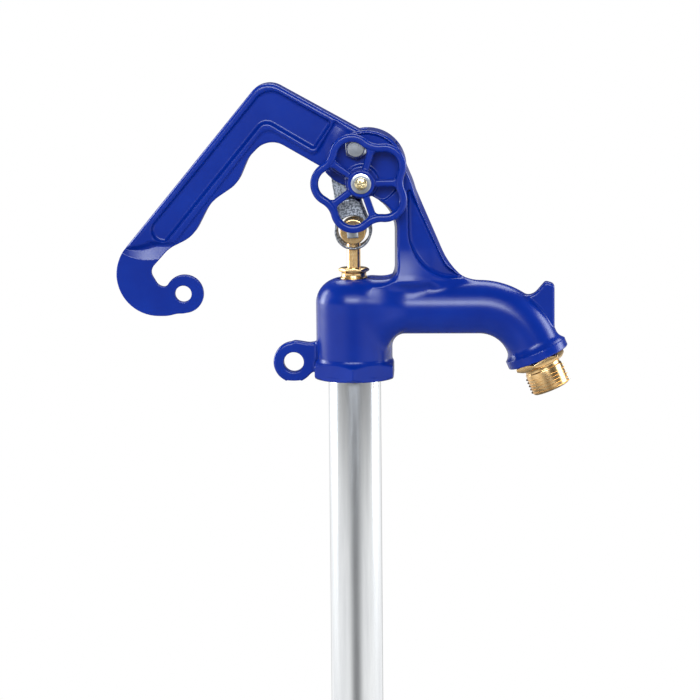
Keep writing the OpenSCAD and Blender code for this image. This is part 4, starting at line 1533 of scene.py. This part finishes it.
@dataclass
class HoseNozzle:
    """The brass nozzle screwed into the outlet, with a hexagon and a hose thread."""

    flats: float = 29.0
    hex_height: float = 5.0
    neck: float = 3.0
    crest: float = 13.45
    ridge: float = 1.3
    length: float = 13.5
    pitch: float = 2.21
    bore: float = 9.0
    shank: float = 12.85
    shank_length: float = 11.5
    turn: float = 15.0

    def profile(self, angle: float) -> list[Point2]:
        """The nozzle's profile, from the shank's bore down to the mouth.

        Args:
            angle: The angle round the axis, in radians.

        Returns:
            Radius and height of each point.
        """
        root = self.crest - self.ridge
        foot = self.hex_height + self.neck
        end = foot + self.length
        side = bevelled_hexagon(angle, self.flats, 0.2, self.hex_height)
        return [(self.bore, -self.shank_length), (self.shank - 1, -self.shank_length),
                (self.shank, -self.shank_length + 1), (self.shank, 0.2), *side,
                (root - 0.2, self.hex_height), (root - 0.6, self.hex_height + 0.5),
                (root - 0.6, foot - 0.6), (root, foot), (root, end - 0.9), (root - 0.8, end),
                (self.bore + 0.7, end), (self.bore, end - 0.7)]

    def build(self, head: HeadCasting) -> None:
        """Turns the nozzle, sweeps its thread and dresses it.

        Args:
            head: The head, whose outlet it screws into.
        """
        made = turned("brass_nozzle", self.profile, 120)
        finish_edges(made, 0.18, 25)
        root, foot = self.crest - self.ridge, self.hex_height + self.neck
        sweep_thread(made, Thread(root, self.ridge, self.pitch, foot + 0.9, foot + self.length - 1.1),
                   Finishes.BRIGHT_BRASS)
        along = (head.out[0], 0, head.out[1])
        at = (head.bend_end[0] + head.out[0] * head.outlet, 0,
              head.bend_end[1] + head.out[1] * head.outlet)
        Berth("standpipe", ("hose_nozzle",), "bright_brass", Finishes.BRIGHT_BRASS).settle(
            place(made, at, along, self.turn))


@dataclass
class PackingGland:
    """The brass packing nut round the stem."""

    flats: float = 17.2
    shank: float = 8.0
    ring: float = 8.8
    bore: float = 4.38
    foot: float = 51.8
    seat: float = 62.0
    hex_low: float = 68.0
    hex_high: float = 70.8

    def build(self) -> None:
        """Turns and dresses the nut."""
        made = turned("gland_nut", lambda angle: [
            (self.bore, self.foot), (self.shank - 0.8, self.foot), (self.shank, self.foot + 0.8),
            (self.shank, self.seat), (self.ring, self.seat), (self.ring, self.seat + 2.6),
            (self.ring - 0.5, self.seat + 3.0), (self.shank, self.seat + 3.2),
            (self.shank - 0.2, self.hex_low - 0.4),
            *bevelled_hexagon(angle, self.flats, self.hex_low, self.hex_high),
            (self.bore + 0.9, self.hex_high), (self.bore, self.hex_high - 0.8)], 120)
        finish_edges(made, 0.18, 25)
        Berth("standpipe", ("packing_nut",), "bright_brass", Finishes.BRIGHT_BRASS).settle(
            place(made, (0, 0, 0), turn=30))


@dataclass
class Stem:
    """The polished brass stem."""

    radius: float = 4.3
    low: float = -9.0
    high: float = 102.05

    def build(self) -> None:
        """Turns and dresses the stem."""
        made = turned("polished_stem", lambda angle: [
            (0, self.low), (self.radius - 0.6, self.low), (self.radius, self.low + 0.6),
            (self.radius, self.high - 0.9), (self.radius - 0.9, self.high), (0, self.high)], 64)
        finish_edges(made, 0.15)
        Berth("plunger_rod", ("stem",), "bright_brass", Finishes.BRIGHT_BRASS).settle(
            place(made, (0, 0, 0)))


@dataclass
class Fulcrum:
    """The hexagon bolt that the lever turns on, with its washer and nut on the far cheek."""

    pivot: Point2 = PIVOT
    face: float = 13.7
    flats: float = 12.7
    head: float = 5.3
    crown: float = 5.1
    radius: float = 4.0
    thread_root: float = 3.4
    pitch: float = 1.25
    washer: float = 7.25
    washer_height: float = 1.5
    nut: float = 6.8
    thread_start: float = 12.5
    end: float = 24.7
    head_turn: float = -6.0

    def build(self) -> None:
        """Turns and dresses the bolt, the washer and the nut."""
        start, low, slope = self.thread_start, self.face, math.tan(math.radians(27))

        def bolt(angle: float) -> list[Point2]:
            """The bolt's profile, from the middle of its head's face.

            Args:
                angle: The angle round the axis, in radians.

            Returns:
                Radius and height of each point.
            """
            side = hexagon(angle, self.flats)
            return [(0, -self.head), (self.crown, -self.head),
                    (side, -self.head + (side - self.crown) * slope), (side, -0.4),
                    (side - 0.4, 0), (self.radius, 0), (self.radius, low + start),
                    (self.thread_root, low + start + 0.6),
                    (self.thread_root, low + self.end - 0.5),
                    (self.thread_root - 0.5, low + self.end), (0, low + self.end)]

        made = turned("fulcrum_hex_bolt", bolt, 120)
        finish_edges(made, 0.15, 22)
        sweep_thread(made, Thread(self.thread_root, self.radius - self.thread_root, self.pitch,
                                low + start + 1, low + self.end - 0.9), Finishes.ZINC)
        x, z = self.pivot
        Berth("standpipe", ("fulcrum_bolt",), "zinc_plate", Finishes.ZINC).settle(
            place(made, (x, -self.face, z), (0, 1, 0), self.head_turn))
        ring = turned("fulcrum_plain_washer", lambda angle: [
            (4.2, 0), (self.washer, 0), (self.washer, self.washer_height),
            (4.2, self.washer_height)], 96)
        finish_edges(ring, 0.25)
        Berth("standpipe", ("fulcrum_washer",), "zinc_plate", Finishes.ZINC).settle(
            place(ring, (x, self.face, z), (0, 1, 0)))
        nut = turned("fulcrum_hex_nut", lambda angle: [
            (4.06, 0.5), (4.6, 0), *bevelled_hexagon(angle, self.flats, 0, self.nut),
            (4.6, self.nut), (4.06, self.nut - 0.5)], 120)
        finish_edges(nut, 0.15, 22)
        Berth("standpipe", ("fulcrum_nut",), "zinc_plate", Finishes.ZINC).settle(
            place(nut, (x, self.face + self.washer_height, z), (0, 1, 0)))


@dataclass
class WheelFastening:
    """The washer and the cross-recessed pan screw that hold the hand wheel."""

    axis: Point2 = WHEEL_AXIS
    face: float = WHEEL_FACE
    washer: float = 6.4
    washer_height: float = 1.0
    head: float = 4.0
    head_height: float = 2.6
    shank: float = 2.0
    shank_end: float = -17.5
    recess: float = 4.8
    recess_width: float = 1.25
    turn: float = math.radians(20)

    def screw(self, x: Array, y: Array, z: Array) -> Array:
        """Distance to the screw.

        Args:
            x: Places along X.
            y: Places along Y.
            z: Places along Z.

        Returns:
            The distance at each place, negative inside.
        """
        x, z = x - self.axis[0], z - self.axis[1]
        rho = np.hypot(x, z)
        seat = self.face - self.washer_height
        head = plate(rho - self.head, y, seat - self.head_height, seat, 0.3)
        dome = np.sqrt(rho ** 2 + (y - seat + self.head_height - 8) ** 2) - 8
        head = meet(head, dome, 0.4)
        c, s = math.cos(self.turn), math.sin(self.turn)
        u, v = np.abs(x * c + z * s), np.abs(z * c - x * s)
        taper = (y - seat + self.head_height) * 0.45
        arms = np.minimum(np.maximum(u - self.recess / 2 + taper, v - self.recess_width / 2),
                          np.maximum(v - self.recess / 2 + taper, u - self.recess_width / 2))
        head = cut(head, np.maximum(arms, y - seat + self.head_height - 1.6), 0.15)
        return np.minimum(head, plate(rho - self.shank, y, seat - 0.5, self.shank_end, 0.3))

    def build(self) -> None:
        """Makes and dresses both pieces."""
        x, z = self.axis
        ring = turned("wheel_plain_washer", lambda angle: [
            (2.1, 0), (self.washer, 0), (self.washer, self.washer_height),
            (2.1, self.washer_height)], 96)
        finish_edges(ring, 0.22)
        Berth("flow_wheel", ("wheel_washer",), "zinc_plate", Finishes.ZINC).settle(
            place(ring, (x, self.face, z), (0, -1, 0)))
        reach = self.head + 1
        low = (x - reach, self.face - 5, z - reach)
        made = Sculpt(self.screw, low, (x + reach, self.shank_end + 1, z + reach), 0.2,
                      keep=0.5).build("pan_screw")
        Berth("flow_wheel", ("wheel_screw",), "zinc_plate", Finishes.YELLOW_ZINC).settle(made)


class CarriedOver:
    """The pieces inside the standpipe, whose CAD shapes stay and get their real finishes."""

    finishes: dict[str, Finishes] = {
        "packing_washer": Finishes.BRIGHT_BRASS, "stem_packing": Finishes.PACKING,
        "link_pin": Finishes.ZINC, "stem_nut": Finishes.ZINC,
        "rod_coupling": Finishes.DRAWN_STEEL, "operating_rod": Finishes.DRAWN_STEEL,
        "plunger_nut": Finishes.BRIGHT_BRASS, "plunger": Finishes.BRIGHT_BRASS,
        "drain_seal": Finishes.RUBBER, "foot_seal": Finishes.RUBBER,
        "foot_screw": Finishes.ZINC, "lock_pad": Finishes.NYLON,
        "lock_stud": Finishes.BRIGHT_BRASS}

    def build(self) -> None:
        """Dresses each piece."""
        for node, finish in self.finishes.items():
            dress(bpy.data.objects[node], finish)
            log.info("%s keeps its CAD shape", node)


# The studio


@dataclass
class Studio:
    """A plain pale floor, soft lights and the camera at the photograph's viewing angle."""

    azimuth: float = 2.5
    elevation: float = 8.0
    distance: float = 2.2
    roll: float = 0.49
    mm_per_pixel: float = 0.6386
    head_pixel: Point2 = (354.77, 377.5)
    room_light: float = 0.14
    room_above: float = 0.1
    floor_sides: float = 1.15
    floor_ends: float = 0.3
    sensor: float = 36.0

    def camera(self) -> None:
        """Stands the camera where the photograph was taken from."""
        az, el, r = (math.radians(a) for a in (self.azimuth, self.elevation, self.roll))
        back = Vector((math.sin(az) * math.cos(el), -math.cos(az) * math.cos(el), math.sin(el)))
        right = Vector((math.cos(az), math.sin(az), 0))
        up = back.cross(right)
        across = (self.head_pixel[0] - PHOTO_PIXELS / 2) * self.mm_per_pixel * MM
        upward = (PHOTO_PIXELS / 2 - self.head_pixel[1]) * self.mm_per_pixel * MM
        u = across * math.cos(r) + upward * math.sin(r)
        w = upward * math.cos(r) - across * math.sin(r)
        foot = Vector((0, 0, HEAD_FOOT * MM))
        stand = foot + back * self.distance - right * u - up * w
        side = right * math.cos(r) - up * math.sin(r)
        top = right * math.sin(r) + up * math.cos(r)
        made = bpy.data.objects.new("camera", bpy.data.cameras.new("camera"))
        axes = Matrix((side, top, back)).transposed().to_4x4()
        made.matrix_world = Matrix.Translation(stand) @ axes
        made.data.sensor_width = self.sensor
        made.data.lens = self.distance / (self.mm_per_pixel * MM) / PHOTO_PIXELS * self.sensor
        made.data.clip_end = 50
        bpy.context.scene.collection.objects.link(made)
        bpy.context.scene.camera = made

    def lamp(self, name: str, at: Sequence[float], aim: Sequence[float], size: Point2,
             power: float) -> None:
        """Adds one softbox.

        Args:
            name: The lamp's name.
            at: Where it stands, in metres.
            aim: What it points at.
            size: Its width and height in metres.
            power: Its power in watts.
        """
        data = bpy.data.lights.new(name, "AREA")
        data.shape = "RECTANGLE"
        data.size, data.size_y = size
        data.energy = power
        data.color = linear("#edf4ff")[:3]
        made = bpy.data.objects.new(name, data)
        made.location = at
        direction = Vector(aim) - Vector(at)
        made.rotation_euler = direction.to_track_quat("-Z", "Y").to_euler()
        made.visible_camera = False
        bpy.context.scene.collection.objects.link(made)

    def world(self) -> None:
        """Makes the soft room: white to the camera, dim above and light low at the sides."""
        world = bpy.data.worlds.new("soft_room")
        world.use_nodes = True
        bpy.context.scene.world = world
        tree = world.node_tree
        tree.nodes.clear()
        where = add(tree, "ShaderNodeTexCoord")
        split = add(tree, "ShaderNodeSeparateXYZ", Vector=where.outputs["Generated"])
        aside = add(tree, "ShaderNodeMath", {"operation": "ABSOLUTE"}, i0=split.outputs["X"])
        floor = add(tree, "ShaderNodeMapRange",
                    {"From Min": 0.05, "From Max": 0.65, "To Min": self.floor_ends,
                     "To Max": self.floor_sides, "interpolation_type": "SMOOTHSTEP"},
                    Value=aside)
        below = add(tree, "ShaderNodeMapRange",
                    {"From Min": 0.06, "From Max": -0.04, "interpolation_type": "SMOOTHSTEP"},
                    Value=split.outputs["Z"])
        depth = add(tree, "ShaderNodeMix", {"data_type": "FLOAT"}, i0=below, i3=floor)
        depth.inputs[2].default_value = self.room_above
        rays = add(tree, "ShaderNodeLightPath")
        light = add(tree, "ShaderNodeBackground",
                    {"Color": linear("#f4f6ff"), "Strength": self.room_light})
        mirror = add(tree, "ShaderNodeBackground", {"Color": linear("#ffffff")},
                     Strength=depth.outputs[0])
        white = add(tree, "ShaderNodeBackground", {"Color": linear("#ffffff"), "Strength": 1.0})
        shiny = add(tree, "ShaderNodeMath", {"operation": "MAXIMUM"},
                    i0=rays.outputs["Is Glossy Ray"], i1=rays.outputs["Is Transmission Ray"])
        first = add(tree, "ShaderNodeMixShader", i0=shiny, i1=light, i2=mirror)
        seen = add(tree, "ShaderNodeMixShader", i0=rays.outputs["Is Camera Ray"], i1=first, i2=white)
        add(tree, "ShaderNodeOutputWorld", Surface=seen)

    def floor(self) -> None:
        """Lays the pale floor, which fades out at its edge and is darker in reflections."""
        steps = 96
        points = [(FLOOR_RADIUS * math.cos(a), FLOOR_RADIUS * math.sin(a), 0)
                  for a in (2 * math.pi * k / steps for k in range(steps))]
        made = mesh_object("studio_floor", np.array(points), [range(steps)])
        paint = bpy.data.materials.new("white_studio_floor")
        paint.use_nodes = True
        tree = paint.node_tree
        tree.nodes.clear()
        where = add(tree, "ShaderNodeTexCoord")
        away = add(tree, "ShaderNodeVectorMath", {"operation": "LENGTH"},
                   Vector=where.outputs["Object"])
        fade = add(tree, "ShaderNodeMapRange",
                   {"From Min": 0.4 * FLOOR_RADIUS, "From Max": 0.96 * FLOOR_RADIUS,
                    "interpolation_type": "SMOOTHSTEP"}, Value=away.outputs["Value"])
        rays = add(tree, "ShaderNodeLightPath")
        shade = add(tree, "ShaderNodeMix", {"data_type": "RGBA"}, i0=rays.outputs["Is Glossy Ray"])
        shade.inputs[6].default_value = linear("#f2f2f2")
        shade.inputs[7].default_value = linear("#6e6e6e")
        dull = add(tree, "ShaderNodeBsdfDiffuse", Color=shade.outputs[2])
        clear = add(tree, "ShaderNodeBsdfTransparent")
        mixed = add(tree, "ShaderNodeMixShader", i0=fade, i1=dull, i2=clear)
        add(tree, "ShaderNodeOutputMaterial", Surface=mixed)
        made.data.materials.append(paint)

    def build(self) -> None:
        """Sets up the whole studio."""
        self.camera()
        self.world()
        self.floor()
        target = (0, 0, 0.98)
        for name, at, size, power in (
                ("front_softbox", (-0.1, -2.35, 2.2), (2.4, 1.9), 42),
                ("front_core", (-0.1, -2.3, 1.98), (1.7, 0.7), 42),
                ("back_softbox", (0.1, 1.15, 2.45), (1.6, 0.9), 24),
                ("left_softbox", (-1.82, 0.5, 1.41), (1.3, 1.4), 28),
                ("left_core", (-1.8, 0.5, 1.41), (0.6, 1.3), 20),
                ("right_softbox", (1.86, 0.4, 1.41), (1.3, 1.4), 22),
                ("right_core", (1.84, 0.4, 1.41), (0.6, 1.3), 15)):
            self.lamp(name, at, target, size, power)


def main() -> None:
    """Builds the standpipe in its studio."""
    bpy.context.scene.view_settings.view_transform = "Standard"
    Studio().build()
    fine = FINE_CELL
    head = HeadCasting()
    head.build(fine)
    HandLever().build(fine * 0.68)
    FlowWheel().build(fine * 0.55)
    ForgedLink().build(fine * 0.7)
    BarrelClamp().build()
    RiserPipe().build()
    FootValve().build()
    HoseNozzle().build(head)
    PackingGland().build()
    Stem().build()
    Fulcrum().build()
    WheelFastening().build()
    CarriedOver().build()


if __name__ == "__main__":
    logging.basicConfig(level=logging.INFO, format="%(message)s")
    main()
